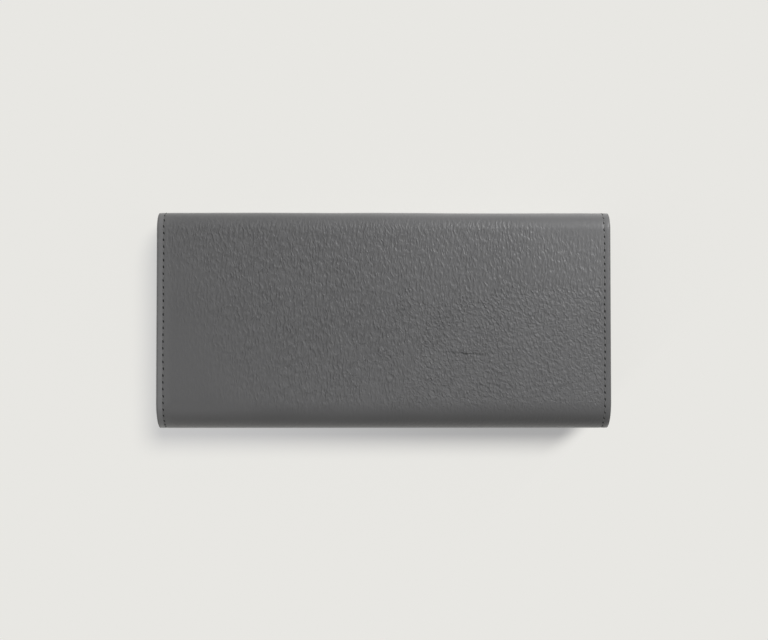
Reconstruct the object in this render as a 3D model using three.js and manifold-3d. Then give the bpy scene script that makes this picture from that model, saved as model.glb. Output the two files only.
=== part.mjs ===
// Continental wallet in grey grained leather, lying closed on its back with the flap on top.
// Millimetres, +Z up. X runs along the long side, +Y points to the folded top edge.
// The origin is on the resting surface, under the middle of the wallet.
// Every soft panel is a ribbon: a profile in the YZ plane, run along X.

import * as THREE from "three";
import { mergeVertices } from "three/addons/utils/BufferGeometryUtils.js";
import Module from "manifold-3d";

const wasm = await Module();
wasm.setup();

// Driving dimensions: the outside
const WIDTH = 196;
const LENGTH = 94;
const TOP_ROLL = 8;
const BOTTOM_ROLL = 12;
const FLAP_TAIL = 2;

// Driving dimensions: the layers
const LEATHER = 1.4;
const FRONT_LEATHER = 1.2;
const LINING = 0.6;
const BOARD = 0.6;
const GLUE = 0.1;
const LINING_INSET = 0.4;
const BOARD_INSET = 6;
const FOLD_GAP = 0.3;

// Driving dimensions: the rooms inside, and the air around the body
const NOTE_ROOM = 4.3;
const COIN_ROOM = 4.4;
const BODY_AIR = 0.8;
const MOUTH_AIR = 3.2;

// Driving dimensions: card slots on the front
const SLOT_WALL = 0.8;
const SLOT_ROWS = 3;
const SLOT_STEP = 9;
const SLOT_INSET = 5;
const SLOT_SEAM = 3;
const SLOT_BELOW_MOUTH = 16;
const SLOT_CORNER = 3;

// Driving dimensions: side gussets
const GUSSET_WALL = 0.8;
const GUSSET_DEPTH = 14;
const GUSSET_SEAT = 0.3;
const GUSSET_INSET = 1;

// Driving dimensions: coin pocket
const POCKET_WALL = 0.8;
const POCKET_SIDE_AIR = 3;
const POCKET_BELOW_MOUTH = 5;
const POCKET_SEAT = 0.3;
const WELT = 1;
const WELT_LENGTH = 2.4;

// Driving dimensions: zip
const TAPE = 0.5;
const TAPE_GAP = 0.1;
const BEAD = 0.6;
const TOOTH_WIDTH = 0.85;
const TOOTH_SIDE_GAP = 0.35;
const TOOTH_LENGTH = 1.4;
const TOOTH_TIP_GAP = 0.2;
const TOOTH_HEIGHT = 1.6;
const STOP_LENGTH = 3;
const STOP_GAP = 0.5;
const ZIP_MARGIN = 3;
const ZIP_TAIL_ROOM = 14;

// Driving dimensions: zip slider and its puller
const SLIDER_LENGTH = 8;
const SLIDER_NOSE_WIDTH = 6.4;
const SLIDER_TAIL_WIDTH = 4.8;
const SLIDER_PLATE = 1;
const SLIDER_CORNER = 1;
const SLIDER_CLEARANCE = 0.4;
const SLIDER_NECK = 1;
const PIVOT_RADIUS = 1;
const PIVOT_CAP_RADIUS = 1.8;
const PIVOT_CAP = 0.5;
const PULLER_THICKNESS = 0.9;
const PULLER_LENGTH = 14;
const PULLER_EYE_WALL = 1.2;
const PULLER_END_RADIUS = 2.2;
const PULLER_CLEARANCE = 0.3;

// Driving dimensions: press stud
const SNAP_ABOVE_SEAM = 7;
const STUD_RADIUS = 4.5;
const STUD_FLANGE = 0.5;
const STUD_HEAD_RADIUS = 2.5;
const STUD_CLEARANCE = 0.6;
const STUD_SHANK_RADIUS = 1.3;
const SOCKET_WALL = 2.4;
const SOCKET_PROUD = 0.45;
const EYELET_RADIUS = 4;
const SNAP_AIR = 0.2;
const SNAP_HOLE_CLEARANCE = 0.3;
const SNAP_SEAT = 0.05;

// Facets: steps in half of each round stretch, and sides of each round post
const ARC_STEPS = 5;
const ROUND_SIDES = 24;

// How far one solid reaches into the other where the two are joined
const JOIN_DEPTH = 0.2;

// Levels above the resting surface, from the back up to the flap
const wrapStack = LEATHER + GLUE + BOARD + GLUE + LINING;
const liningNear = wrapStack - LINING;
const pocketRearLow = wrapStack + NOTE_ROOM;
const coinLow = pocketRearLow + POCKET_WALL;
const coinHigh = coinLow + COIN_ROOM;
const frontLow = coinHigh + POCKET_WALL + NOTE_ROOM;
const frontStack = FRONT_LEATHER + GLUE + LINING;
const frontHigh = frontLow + frontStack;
const slotPitch = GLUE + SLOT_WALL;
const slotsHigh = frontHigh + SLOT_ROWS * slotPitch;
const flapAir = SNAP_SEAT + STUD_FLANGE + SNAP_AIR + SOCKET_PROUD;
const flapLow = slotsHigh + flapAir;
const thickness = flapLow + wrapStack;

// Places along Y, and the centres of the rolled folds
const topEdge = LENGTH / 2;
const bottomEdge = -LENGTH / 2;
const topRoll = { y: topEdge - TOP_ROLL, z: thickness - TOP_ROLL };
const backRoll = { y: topEdge - TOP_ROLL, z: TOP_ROLL };
const flapRoll = { y: bottomEdge + BOTTOM_ROLL, z: thickness - BOTTOM_ROLL };
const bodyBottom = bottomEdge + wrapStack + BODY_AIR;
const bodyFold = frontHigh / 2;
const bodyRoll = { y: bodyBottom + bodyFold, z: bodyFold };
const frontMouth = topEdge - wrapStack - MOUTH_AIR;

// Angles, anticlockwise from +Y in the YZ plane
const UP = Math.PI / 2;
const BACKWARD = Math.PI;
const DOWN = -Math.PI / 2;
const TOP_SPLIT = Math.PI / 4;
const BACK_SPLIT = -Math.PI / 4;

// Finishes: the leather from the photograph, the rest from what such a wallet is made of
const LEATHER_FINISH = { color: 0x646464, roughness: 0.55, metalness: 0 };
const LINING_FINISH = { color: 0x4c4b4a, roughness: 0.85, metalness: 0 };
const BOARD_FINISH = { color: 0x9a8468, roughness: 0.95, metalness: 0 };
const TAPE_FINISH = { color: 0x3b3b3c, roughness: 0.9, metalness: 0 };
const METAL_FINISH = { color: 0x8d8f92, roughness: 0.3, metalness: 1 };

// Cutting and joining closed solids

function solidOf(geometry) {
  const bare = geometry.clone();
  bare.deleteAttribute("normal");
  bare.deleteAttribute("uv");
  const merged = mergeVertices(bare, 1e-4);
  const vertProperties = new Float32Array(merged.attributes.position.array);
  const triVerts = new Uint32Array(merged.index.array);
  return new wasm.Manifold(new wasm.Mesh({ numProp: 3, vertProperties, triVerts }));
}

function geometryOf(solid) {
  const mesh = solid.getMesh();
  const geometry = new THREE.BufferGeometry();
  geometry.setAttribute("position", new THREE.BufferAttribute(mesh.vertProperties, 3));
  geometry.setIndex(new THREE.BufferAttribute(mesh.triVerts, 1));
  geometry.computeVertexNormals();
  return geometry;
}

function cut(geometry, ...tools) {
  const left = tools.reduce((solid, tool) => solid.subtract(solidOf(tool)), solidOf(geometry));
  return geometryOf(left);
}

function join(geometry, ...others) {
  const whole = others.reduce((solid, other) => solid.add(solidOf(other)), solidOf(geometry));
  return geometryOf(whole);
}

// Drawing and running profiles

const extrude = (shape, depth) =>
  new THREE.ExtrudeGeometry(shape, { depth, bevelEnabled: false, curveSegments: ARC_STEPS });

// A profile drawn in (y, z), run along X and centred on the YZ plane.
function alongX(profile, width) {
  const turn = new THREE.Matrix4().makeBasis(
    new THREE.Vector3(0, 1, 0),
    new THREE.Vector3(0, 0, 1),
    new THREE.Vector3(1, 0, 0),
  );
  return extrude(profile, width).applyMatrix4(turn).translate(-width / 2, 0, 0);
}

// A profile drawn in (x, z), run along Y between two places.
function alongY(profile, low, high) {
  const turn = new THREE.Matrix4().makeBasis(
    new THREE.Vector3(1, 0, 0),
    new THREE.Vector3(0, 0, 1),
    new THREE.Vector3(0, -1, 0),
  );
  return extrude(profile, high - low).applyMatrix4(turn).translate(0, high, 0);
}

// An outline drawn in (x, y), run along Z between two levels.
const alongZ = (outline, low, high) => extrude(outline, high - low).translate(0, 0, low);

const polygon = (points) => new THREE.Shape(points.map(([a, b]) => new THREE.Vector2(a, b)));

function block([x0, x1], [y0, y1], [z0, z1]) {
  const box = new THREE.BoxGeometry(x1 - x0, y1 - y0, z1 - z0);
  return box.translate((x0 + x1) / 2, (y0 + y1) / 2, (z0 + z1) / 2);
}

// A round post from low to high along Y, on the line through (x, z).
function postAlongY(radius, x, z, low, high) {
  const round = new THREE.CylinderGeometry(radius, radius, high - low, ROUND_SIDES);
  return round.translate(x, (low + high) / 2, z);
}

// A round post of the press stud, from low to high along Z.
function snapPost(radius, low, high) {
  const round = new THREE.CylinderGeometry(radius, radius, high - low, ROUND_SIDES);
  return round.rotateX(Math.PI / 2).translate(0, snapY, (low + high) / 2);
}

// Outer wrap: near and far are the depths of a layer's two faces below the outer skin

const halfGap = (radius) => FOLD_GAP / 2 / radius;

// The flap: from the middle of the top fold, over the top and down round the bottom edge.
function flapProfile(near, far) {
  const split = TOP_SPLIT + halfGap(TOP_ROLL);
  const tail = flapRoll.z - FLAP_TAIL;
  const profile = new THREE.Shape();
  profile.absarc(topRoll.y, topRoll.z, TOP_ROLL - near, split, UP, false);
  profile.absarc(flapRoll.y, flapRoll.z, BOTTOM_ROLL - near, UP, BACKWARD, false);
  profile.lineTo(bottomEdge + near, tail);
  profile.lineTo(bottomEdge + far, tail);
  profile.absarc(flapRoll.y, flapRoll.z, BOTTOM_ROLL - far, BACKWARD, UP, true);
  profile.absarc(topRoll.y, topRoll.z, TOP_ROLL - far, UP, split, true);
  profile.closePath();
  return profile;
}

// The spine: the strip along the top edge, between the middles of its two folds.
function spineProfile(near, far) {
  const gap = halfGap(TOP_ROLL);
  const profile = new THREE.Shape();
  profile.absarc(backRoll.y, backRoll.z, TOP_ROLL - near, BACK_SPLIT + gap, 0, false);
  profile.absarc(topRoll.y, topRoll.z, TOP_ROLL - near, 0, TOP_SPLIT - gap, false);
  profile.absarc(topRoll.y, topRoll.z, TOP_ROLL - far, TOP_SPLIT - gap, 0, true);
  profile.absarc(backRoll.y, backRoll.z, TOP_ROLL - far, 0, BACK_SPLIT + gap, true);
  profile.closePath();
  return profile;
}

// The back: from the middle of the bottom fold, under the wallet, to the middle of its top fold.
function backProfile(near, far) {
  const top = BACK_SPLIT - halfGap(TOP_ROLL);
  const bottom = -BACKWARD + halfGap(bodyFold);
  const profile = new THREE.Shape();
  profile.absarc(bodyRoll.y, bodyRoll.z, bodyFold - near, bottom, DOWN, false);
  profile.absarc(backRoll.y, backRoll.z, TOP_ROLL - near, DOWN, top, false);
  profile.absarc(backRoll.y, backRoll.z, TOP_ROLL - far, top, DOWN, true);
  profile.absarc(bodyRoll.y, bodyRoll.z, bodyFold - far, DOWN, bottom, true);
  profile.closePath();
  return profile;
}

// The front: from the middle of the bottom fold up to the mouth, under the flap.
function frontProfile(near, far) {
  const bottom = BACKWARD - halfGap(bodyFold);
  const profile = new THREE.Shape();
  profile.moveTo(frontMouth, frontHigh - near);
  profile.absarc(bodyRoll.y, bodyRoll.z, bodyFold - near, UP, bottom, false);
  profile.absarc(bodyRoll.y, bodyRoll.z, bodyFold - far, bottom, UP, true);
  profile.lineTo(frontMouth, frontHigh - far);
  profile.closePath();
  return profile;
}

const liningWidth = WIDTH - 2 * LINING_INSET;
const boardHalf = WIDTH / 2 - BOARD_INSET;

function boardPlate(lowY, highY, low) {
  return block([-boardHalf, boardHalf], [lowY, highY], [low, low + BOARD]);
}

// Card slots: sheets stacked on the front, each one step shorter than the sheet behind it

const slotHalf = WIDTH / 2 - SLOT_INSET;
const slotLow = bodyRoll.y + SLOT_SEAM;
const slotLevel = (row) => frontHigh + GLUE + row * slotPitch;

function slotSheet(row) {
  const top = frontMouth - SLOT_BELOW_MOUTH - row * SLOT_STEP;
  const outline = new THREE.Shape();
  outline.moveTo(-slotHalf, slotLow);
  outline.lineTo(slotHalf, slotLow);
  outline.absarc(slotHalf - SLOT_CORNER, top - SLOT_CORNER, SLOT_CORNER, 0, UP, false);
  outline.absarc(SLOT_CORNER - slotHalf, top - SLOT_CORNER, SLOT_CORNER, UP, BACKWARD, false);
  outline.closePath();
  return alongZ(outline, slotLevel(row), slotLevel(row) + SLOT_WALL);
}

// Press stud: the stud is riveted through the outer card slot, the socket through the flap's lining

const outerRow = SLOT_ROWS - 1;
const innerRow = outerRow - 1;
const snapY = slotLow + SNAP_ABOVE_SEAM;
const boardLow = flapLow + LINING + GLUE;
const socketLow = flapLow - SOCKET_PROUD;
const socketHigh = boardLow - SNAP_SEAT;
const socketBore = STUD_HEAD_RADIUS + STUD_CLEARANCE;
const socketRadius = socketBore + SOCKET_WALL;

function snapHole(radius, low, high) {
  return snapPost(radius + SNAP_HOLE_CLEARANCE, low - GLUE / 2, high + GLUE / 2);
}

function socketHole() {
  return snapHole(socketRadius, flapLow, boardLow + BOARD);
}

function slotHole(row, radius) {
  return snapHole(radius, slotLevel(row), slotLevel(row) + SLOT_WALL);
}

function snapStud() {
  const base = slotsHigh + SNAP_SEAT;
  const flange = snapPost(STUD_RADIUS, base, base + STUD_FLANGE);
  const head = snapPost(STUD_HEAD_RADIUS, base, socketHigh - SNAP_SEAT);
  const shank = snapPost(STUD_SHANK_RADIUS, slotLevel(outerRow), base + STUD_FLANGE);
  return join(flange, head, shank);
}

function snapEyelet() {
  return snapPost(EYELET_RADIUS, slotLevel(innerRow) + SNAP_SEAT, slotLevel(outerRow) - SNAP_SEAT);
}

function snapSocket() {
  const ring = snapPost(socketRadius, socketLow, socketHigh);
  return cut(ring, snapPost(socketBore, socketLow - SNAP_SEAT, socketHigh + SNAP_SEAT));
}

const snapRivet = () => snapPost(socketRadius, boardLow + SNAP_SEAT, boardLow + BOARD - SNAP_SEAT);

// Side gussets: one sheet folded in a W between the back's lining and the front's

const gussetOuter = WIDTH / 2 - GUSSET_INSET;
const gussetInner = gussetOuter - GUSSET_DEPTH;

// side is -1 on the left and 1 on the right.
function gusset(side) {
  const low = wrapStack + GUSSET_SEAT;
  const high = frontLow - GUSSET_SEAT;
  const middle = (low + high) / 2;
  const lowValley = (low + middle) / 2;
  const highValley = (middle + high) / 2;
  const half = GUSSET_WALL / 2;
  const valleyFloor = gussetInner + 2 * GUSSET_WALL;
  const across = [
    [gussetOuter, low],
    [gussetInner, lowValley - half],
    [gussetInner, lowValley + half],
    [gussetOuter - GUSSET_WALL, middle],
    [gussetInner, highValley - half],
    [gussetInner, highValley + half],
    [gussetOuter, high],
    [gussetOuter, high - GUSSET_WALL],
    [valleyFloor, highValley],
    [gussetOuter, middle + half],
    [gussetOuter, middle - half],
    [valleyFloor, lowValley],
    [gussetOuter, low + GUSSET_WALL],
  ];
  const profile = polygon(across.map(([x, z]) => [side * x, z]));
  return alongY(profile, bodyRoll.y, frontMouth - GUSSET_INSET);
}

// Coin pocket: two walls, a U-shaped band between them, and a welt that sews it to the bottom fold

const pocketHalf = gussetInner - POCKET_SIDE_AIR;
const pocketMouth = frontMouth - POCKET_BELOW_MOUTH;
const weltLow = bodyBottom + wrapStack + POCKET_SEAT;
const pocketLow = weltLow + WELT_LENGTH;
const pocketMiddle = (coinLow + coinHigh) / 2;

function pocketWall(low) {
  return block([-pocketHalf, pocketHalf], [pocketLow, pocketMouth], [low, low + POCKET_WALL]);
}

function pocketBand() {
  const inner = pocketHalf - POCKET_WALL;
  const outline = polygon([
    [-pocketHalf, pocketLow],
    [pocketHalf, pocketLow],
    [pocketHalf, pocketMouth],
    [inner, pocketMouth],
    [inner, pocketLow + POCKET_WALL],
    [-inner, pocketLow + POCKET_WALL],
    [-inner, pocketMouth],
    [-pocketHalf, pocketMouth],
  ]);
  return alongZ(outline, coinLow + GLUE, coinHigh - GLUE);
}

function pocketWelt() {
  const across = [pocketMiddle - WELT / 2, pocketMiddle + WELT / 2];
  return block([-pocketHalf, pocketHalf], [weltLow, pocketLow - GLUE], across);
}

// Zip along the pocket's mouth: two tapes, two combs of teeth that mesh, and a stop at each end

const tapeLow = pocketMouth + GLUE;
const tapeMiddle = tapeLow + TAPE / 2;
const teethLow = tapeMiddle - TOOTH_HEIGHT / 2;
const teethHigh = tapeMiddle + TOOTH_HEIGHT / 2;
const beadInner = (TOOTH_LENGTH + TOOTH_TIP_GAP) / 2;
const beadOuter = beadInner + BEAD;
const toothPitch = 2 * (TOOTH_WIDTH + TOOTH_SIDE_GAP);
const closedStop = ZIP_MARGIN - pocketHalf;
const beadStart = closedStop + STOP_LENGTH + STOP_GAP;
const teethStart = beadStart + SLIDER_LENGTH + STOP_GAP;
const teethRoom = pocketHalf - ZIP_TAIL_ROOM - STOP_LENGTH - teethStart;
const toothCount = Math.floor(teethRoom / toothPitch);
const teethEnd = teethStart + toothCount * toothPitch;

// side is -1 on the rear wall and 1 on the front wall.
function zipTape(side) {
  const inner = pocketMiddle + side * (beadOuter + TAPE_GAP);
  const outer = pocketMiddle + side * (COIN_ROOM / 2 + POCKET_WALL);
  const across = [Math.min(inner, outer), Math.max(inner, outer)];
  return block([-pocketHalf, pocketHalf], [tapeLow, tapeLow + TAPE], across);
}

// The front comb is half a pitch along from the rear one, so that their teeth mesh.
function zipTeeth(side) {
  const toward = (distance) => pocketMiddle + side * distance;
  const shift = side < 0 ? 0 : toothPitch / 2;
  const points = [[beadStart, toward(beadInner)]];
  for (let tooth = 0; tooth < toothCount; tooth += 1) {
    const left = teethStart + tooth * toothPitch + shift;
    const right = left + TOOTH_WIDTH;
    points.push([left, toward(beadInner)]);
    points.push([left, toward(beadInner - TOOTH_LENGTH)]);
    points.push([right, toward(beadInner - TOOTH_LENGTH)]);
    points.push([right, toward(beadInner)]);
  }
  points.push([teethEnd, toward(beadInner)]);
  points.push([teethEnd, toward(beadOuter)]);
  points.push([beadStart, toward(beadOuter)]);
  return alongY(polygon(points), teethLow, teethHigh);
}

function zipStop(start) {
  const across = [pocketMiddle - beadOuter, pocketMiddle + beadOuter];
  return block([start, start + STOP_LENGTH], [teethLow, teethHigh], across);
}

// Zip slider: a plate on each side of the chain, a neck between them, and a pivot for the puller

const sliderX = beadStart + SLIDER_LENGTH / 2;
const lowPlate = teethLow - SLIDER_CLEARANCE - SLIDER_PLATE;
const highPlate = teethHigh + SLIDER_CLEARANCE;
const plateTop = highPlate + SLIDER_PLATE;
const pullerLow = plateTop + PULLER_CLEARANCE;
const pullerHigh = pullerLow + PULLER_THICKNESS;
const capLow = pullerHigh + PULLER_CLEARANCE;

// A plate that narrows from its nose, at the closed end, to its tail, with cut corners.
function sliderPlate(noseHalf, tailHalf, low) {
  const nose = sliderX - SLIDER_LENGTH / 2;
  const tail = sliderX + SLIDER_LENGTH / 2;
  const side = [
    [nose, noseHalf - SLIDER_CORNER],
    [nose + SLIDER_CORNER, noseHalf],
    [tail - SLIDER_CORNER, tailHalf],
    [tail, tailHalf - SLIDER_CORNER],
  ];
  const mirrored = side.map(([x, z]) => [x, -z]).reverse();
  const outline = [...side, ...mirrored].map(([x, z]) => [x, pocketMiddle + z]);
  return alongY(polygon(outline), low, low + SLIDER_PLATE);
}

function zipSlider() {
  const insideHalf = COIN_ROOM / 2 - SLIDER_CLEARANCE;
  const outside = sliderPlate(SLIDER_NOSE_WIDTH / 2, SLIDER_TAIL_WIDTH / 2, highPlate);
  const inside = sliderPlate(insideHalf, insideHalf, lowPlate);
  const neckMiddle = sliderX - SLIDER_LENGTH / 4;
  const neck = block(
    [neckMiddle - SLIDER_NECK / 2, neckMiddle + SLIDER_NECK / 2],
    [lowPlate + SLIDER_PLATE - JOIN_DEPTH, highPlate + JOIN_DEPTH],
    [pocketMiddle - SLIDER_NECK / 2, pocketMiddle + SLIDER_NECK / 2],
  );
  const pivot = postAlongY(PIVOT_RADIUS, sliderX, pocketMiddle, plateTop - JOIN_DEPTH, capLow + JOIN_DEPTH);
  const cap = postAlongY(PIVOT_CAP_RADIUS, sliderX, pocketMiddle, capLow, capLow + PIVOT_CAP);
  return join(outside, inside, neck, pivot, cap);
}

function zipPuller() {
  const eye = PIVOT_RADIUS + PULLER_CLEARANCE;
  const end = sliderX + PULLER_LENGTH;
  const outline = new THREE.Shape();
  outline.absarc(sliderX, pocketMiddle, eye + PULLER_EYE_WALL, UP, UP + BACKWARD, false);
  outline.absarc(end, pocketMiddle, PULLER_END_RADIUS, DOWN, UP, false);
  outline.closePath();
  const hole = new THREE.Path();
  hole.absarc(sliderX, pocketMiddle, eye, 0, 2 * BACKWARD, true);
  outline.holes.push(hole);
  return alongY(outline, pullerLow, pullerHigh);
}

// Assembly: one group for each body that moves

function piece(name, geometry, finish) {
  const mesh = new THREE.Mesh(geometry, new THREE.MeshStandardMaterial(finish));
  mesh.name = name;
  return mesh;
}

function group(...pieces) {
  const made = new THREE.Group();
  made.add(...pieces);
  return made;
}

const body = group(
  piece("back_panel", alongX(backProfile(0, LEATHER), WIDTH), LEATHER_FINISH),
  piece("back_board", boardPlate(bodyRoll.y, backRoll.y, LEATHER + GLUE), BOARD_FINISH),
  piece("back_lining", alongX(backProfile(liningNear, wrapStack), liningWidth), LINING_FINISH),
  piece("left_gusset", gusset(-1), LINING_FINISH),
  piece("right_gusset", gusset(1), LINING_FINISH),
);

const spine = group(
  piece("spine_panel", alongX(spineProfile(0, LEATHER), WIDTH), LEATHER_FINISH),
  piece("spine_lining", alongX(spineProfile(liningNear, wrapStack), liningWidth), LINING_FINISH),
);

const flapLining = cut(alongX(flapProfile(liningNear, wrapStack), liningWidth), socketHole());
const flapBoard = cut(boardPlate(flapRoll.y, topRoll.y, boardLow), socketHole());
const flap = group(
  piece("flap_panel", alongX(flapProfile(0, LEATHER), WIDTH), LEATHER_FINISH),
  piece("flap_board", flapBoard, BOARD_FINISH),
  piece("flap_lining", flapLining, LINING_FINISH),
  piece("snap_socket", snapSocket(), METAL_FINISH),
  piece("snap_socket_rivet", snapRivet(), METAL_FINISH),
);

// The outer sheet is pierced for the stud's shank, the one behind it for the eyelet.
function slotGeometry(row) {
  if (row === outerRow) {
    return cut(slotSheet(row), slotHole(row, STUD_SHANK_RADIUS));
  }
  if (row === innerRow) {
    return cut(slotSheet(row), slotHole(row, EYELET_RADIUS));
  }
  return slotSheet(row);
}

const front = group(
  piece("front_panel", alongX(frontProfile(0, FRONT_LEATHER), WIDTH), LEATHER_FINISH),
  piece("front_lining", alongX(frontProfile(frontStack - LINING, frontStack), liningWidth), LINING_FINISH),
  piece("snap_stud", snapStud(), METAL_FINISH),
  piece("snap_stud_eyelet", snapEyelet(), METAL_FINISH),
);
for (let row = 0; row < SLOT_ROWS; row += 1) {
  front.add(piece(`card_slot_${row + 1}`, slotGeometry(row), LEATHER_FINISH));
}

const puller = group(piece("zip_puller", zipPuller(), METAL_FINISH));
const slider = group(piece("zip_slider", zipSlider(), METAL_FINISH), puller);
const coinPocket = group(
  piece("coin_pocket_rear", pocketWall(pocketRearLow), LINING_FINISH),
  piece("coin_pocket_front", pocketWall(coinHigh), LINING_FINISH),
  piece("coin_pocket_band", pocketBand(), LINING_FINISH),
  piece("coin_pocket_welt", pocketWelt(), LINING_FINISH),
  piece("zip_tape_rear", zipTape(-1), TAPE_FINISH),
  piece("zip_tape_front", zipTape(1), TAPE_FINISH),
  piece("zip_teeth_rear", zipTeeth(-1), METAL_FINISH),
  piece("zip_teeth_front", zipTeeth(1), METAL_FINISH),
  piece("zip_stop_closed", zipStop(closedStop), METAL_FINISH),
  piece("zip_stop_open", zipStop(teethEnd + STOP_GAP), METAL_FINISH),
  slider,
);

const wallet = group(body, spine, flap, front, coinPocket);

export default wallet;
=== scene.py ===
# %% [markdown]
# # A continental wallet in grey grained leather
#
# The real wallet is one long hide, folded three times: a front, a back, and a flap that rolls over the
# hinge edge and curls down over the free edge. Under the flap are card slots, two note rooms and a zipped
# coin pocket. The solids already have every size, so this file only gives them their leather, thread,
# paint and metal. We start by loading those solids as a fixed frame, and by keeping their box.

# %% The frame
import math

import bmesh
import bpy
import numpy as np
from mathutils import Matrix, Vector, noise


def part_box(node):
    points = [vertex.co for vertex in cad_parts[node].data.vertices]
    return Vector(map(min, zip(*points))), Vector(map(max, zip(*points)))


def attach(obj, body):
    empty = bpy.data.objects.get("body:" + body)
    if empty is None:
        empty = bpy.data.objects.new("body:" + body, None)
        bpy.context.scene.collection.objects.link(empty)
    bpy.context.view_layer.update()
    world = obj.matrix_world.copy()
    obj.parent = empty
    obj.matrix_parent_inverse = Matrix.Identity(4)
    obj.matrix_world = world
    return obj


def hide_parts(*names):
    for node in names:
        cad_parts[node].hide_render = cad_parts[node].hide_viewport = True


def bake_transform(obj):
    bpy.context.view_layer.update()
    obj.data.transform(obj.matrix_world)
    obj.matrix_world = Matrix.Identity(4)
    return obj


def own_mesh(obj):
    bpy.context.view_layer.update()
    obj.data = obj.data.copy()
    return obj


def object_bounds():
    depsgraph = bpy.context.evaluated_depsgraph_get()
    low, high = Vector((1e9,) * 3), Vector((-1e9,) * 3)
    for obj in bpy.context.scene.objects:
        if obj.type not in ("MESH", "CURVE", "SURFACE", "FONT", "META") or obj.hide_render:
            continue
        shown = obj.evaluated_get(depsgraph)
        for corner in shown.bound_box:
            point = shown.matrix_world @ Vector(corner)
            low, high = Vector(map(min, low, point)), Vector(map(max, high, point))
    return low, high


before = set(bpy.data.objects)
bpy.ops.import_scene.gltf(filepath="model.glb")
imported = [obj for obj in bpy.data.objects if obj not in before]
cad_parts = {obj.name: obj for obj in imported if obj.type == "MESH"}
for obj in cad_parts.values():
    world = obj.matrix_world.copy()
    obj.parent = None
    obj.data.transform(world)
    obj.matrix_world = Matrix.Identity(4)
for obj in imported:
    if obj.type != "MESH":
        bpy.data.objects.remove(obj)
cad_low, cad_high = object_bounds()
MM = 0.001
cad_sides = [round(side / MM, 1) for side in cad_high - cad_low]
print("solids:", len(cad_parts), "in a box of", cad_sides, "mm")

# %% [markdown]
# ## Writing node trees as sums
#
# Every finish here is a small formula: a crease is a noise, a wear mask is a product of two masks. Wiring
# such formulas by hand hides them in clutter. A thin wrapper round a socket lets us write them as Python
# sums instead, and one method adds any other node, for shaders and for geometry alike.

# %% Sockets that can be added and multiplied
class Field:
    """One socket of a node tree: sums on it add Math nodes, and node() adds any other node."""

    def __init__(self, tree, socket=None):
        self.tree = tree
        self.socket = socket

    def node(self, kind, settings=None, sockets=None, output=0):
        """Adds a node: first its settings, then the values or links of its sockets."""
        made = self.tree.nodes.new(kind)
        for key, value in (settings or {}).items():
            setattr(made, key, value)
        for key, value in (sockets or {}).items():
            if isinstance(value, Field):
                self.tree.links.new(value.socket, made.inputs[key])
            else:
                made.inputs[key].default_value = value
        return Field(self.tree, made.outputs[output] if made.outputs else None)

    def math(self, operation, first, second=0.0):
        """Adds a Math node."""
        return self.node("ShaderNodeMath", {"operation": operation}, {0: first, 1: second})

    def __add__(self, other):
        return self.math("ADD", self, other)

    def __sub__(self, other):
        return self.math("SUBTRACT", self, other)

    def __rsub__(self, other):
        return self.math("SUBTRACT", other, self)

    def __mul__(self, other):
        return self.math("MULTIPLY", self, other)

    def __pow__(self, other):
        return self.math("POWER", self, other)

    __radd__ = __add__
    __rmul__ = __mul__

    def between(self, low, high):
        """0 below low, 1 above high, with an eased slope in between."""
        ease = {"interpolation_type": "SMOOTHSTEP"}
        return self.node("ShaderNodeMapRange", ease, {"Value": self, "From Min": low, "From Max": high})

    def tint(self, dark, light):
        """The colour dark where this is 0, and light where it is 1."""
        return self.node("ShaderNodeMix", {"data_type": "RGBA"}, {0: self, 6: dark, 7: light}, output=2)


def grey(red, green, blue):
    """A colour as it is read on a screen, from 0 to 255, made linear for a shader."""
    linear = [((c / 255 + 0.055) / 1.055) ** 2.4 for c in (red, green, blue)]
    return (*linear, 1.0)


def new_finish(name):
    """An empty material, and the field that adds nodes to it."""
    made = bpy.data.materials.new(name)
    made.use_nodes = True
    made.node_tree.nodes.clear()
    return made, Field(made.node_tree)


def surface(field, sockets):
    """Ends a material in one Principled shader with these sockets."""
    shader = field.node("ShaderNodeBsdfPrincipled", {}, sockets)
    field.node("ShaderNodeOutputMaterial", {}, {"Surface": shader})


def bumps(field, height, distance, strength=1.0):
    """A normal bent by a height, which counts from 0 up to this distance."""
    sockets = {"Strength": strength, "Distance": distance, "Height": height}
    return field.node("ShaderNodeBump", {}, sockets)


print("screen grey 100 is", round(grey(100, 100, 100)[0], 3), "in linear light")

# %% [markdown]
# ## Grained leather
#
# The hide is drum-dyed calf with a milled grain: soft folds about a millimetre apart that run down the
# flap, lie over to one side, and break up into leaning pebbles towards the lower right corner. A picture
# would give that too, but it would not follow the rolls. Each leather sheet carries a map, called skin,
# of its own flat hide in metres, so the grain runs round the rolls as it does on the real thing. Four
# attributes say where the grain is raised (grain), how far it leans (lean), where the hide is drawn paler,
# partly as wear and partly as painted light, and where painted shade darkens its curl. The colour also
# gets painted shade in the creases and where the grain is low, as on the rolls. A few creases are
# longer than the grain, and each of those is drawn by itself.

# %% Noise on the flat hide
def hide_place(field):
    """The place on the flat hide, in millimetres."""
    skin = field.node("ShaderNodeUVMap", {"uv_map": "skin"})
    return field.node("ShaderNodeVectorMath", {"operation": "SCALE"}, {0: skin, "Scale": 1 / MM})


def stretched(field, place, size, stretch, turn):
    """The place in units of a mark that is size wide and stretch times as long, turned by degrees."""
    return field.node(
        "ShaderNodeMapping",
        {"vector_type": "TEXTURE"},
        {"Vector": place, "Rotation": (0, 0, math.radians(turn)), "Scale": (size, size * stretch, 1)},
    )


def speckle(field, place, size, detail=2.0, stretch=1.0, turn=0.0):
    """A flat noise of blots of this size."""
    marks = stretched(field, place, size, stretch, turn)
    flat = {"noise_dimensions": "2D"}
    return field.node("ShaderNodeTexNoise", flat, {"Vector": marks, "Scale": 1.0, "Detail": detail})


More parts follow.
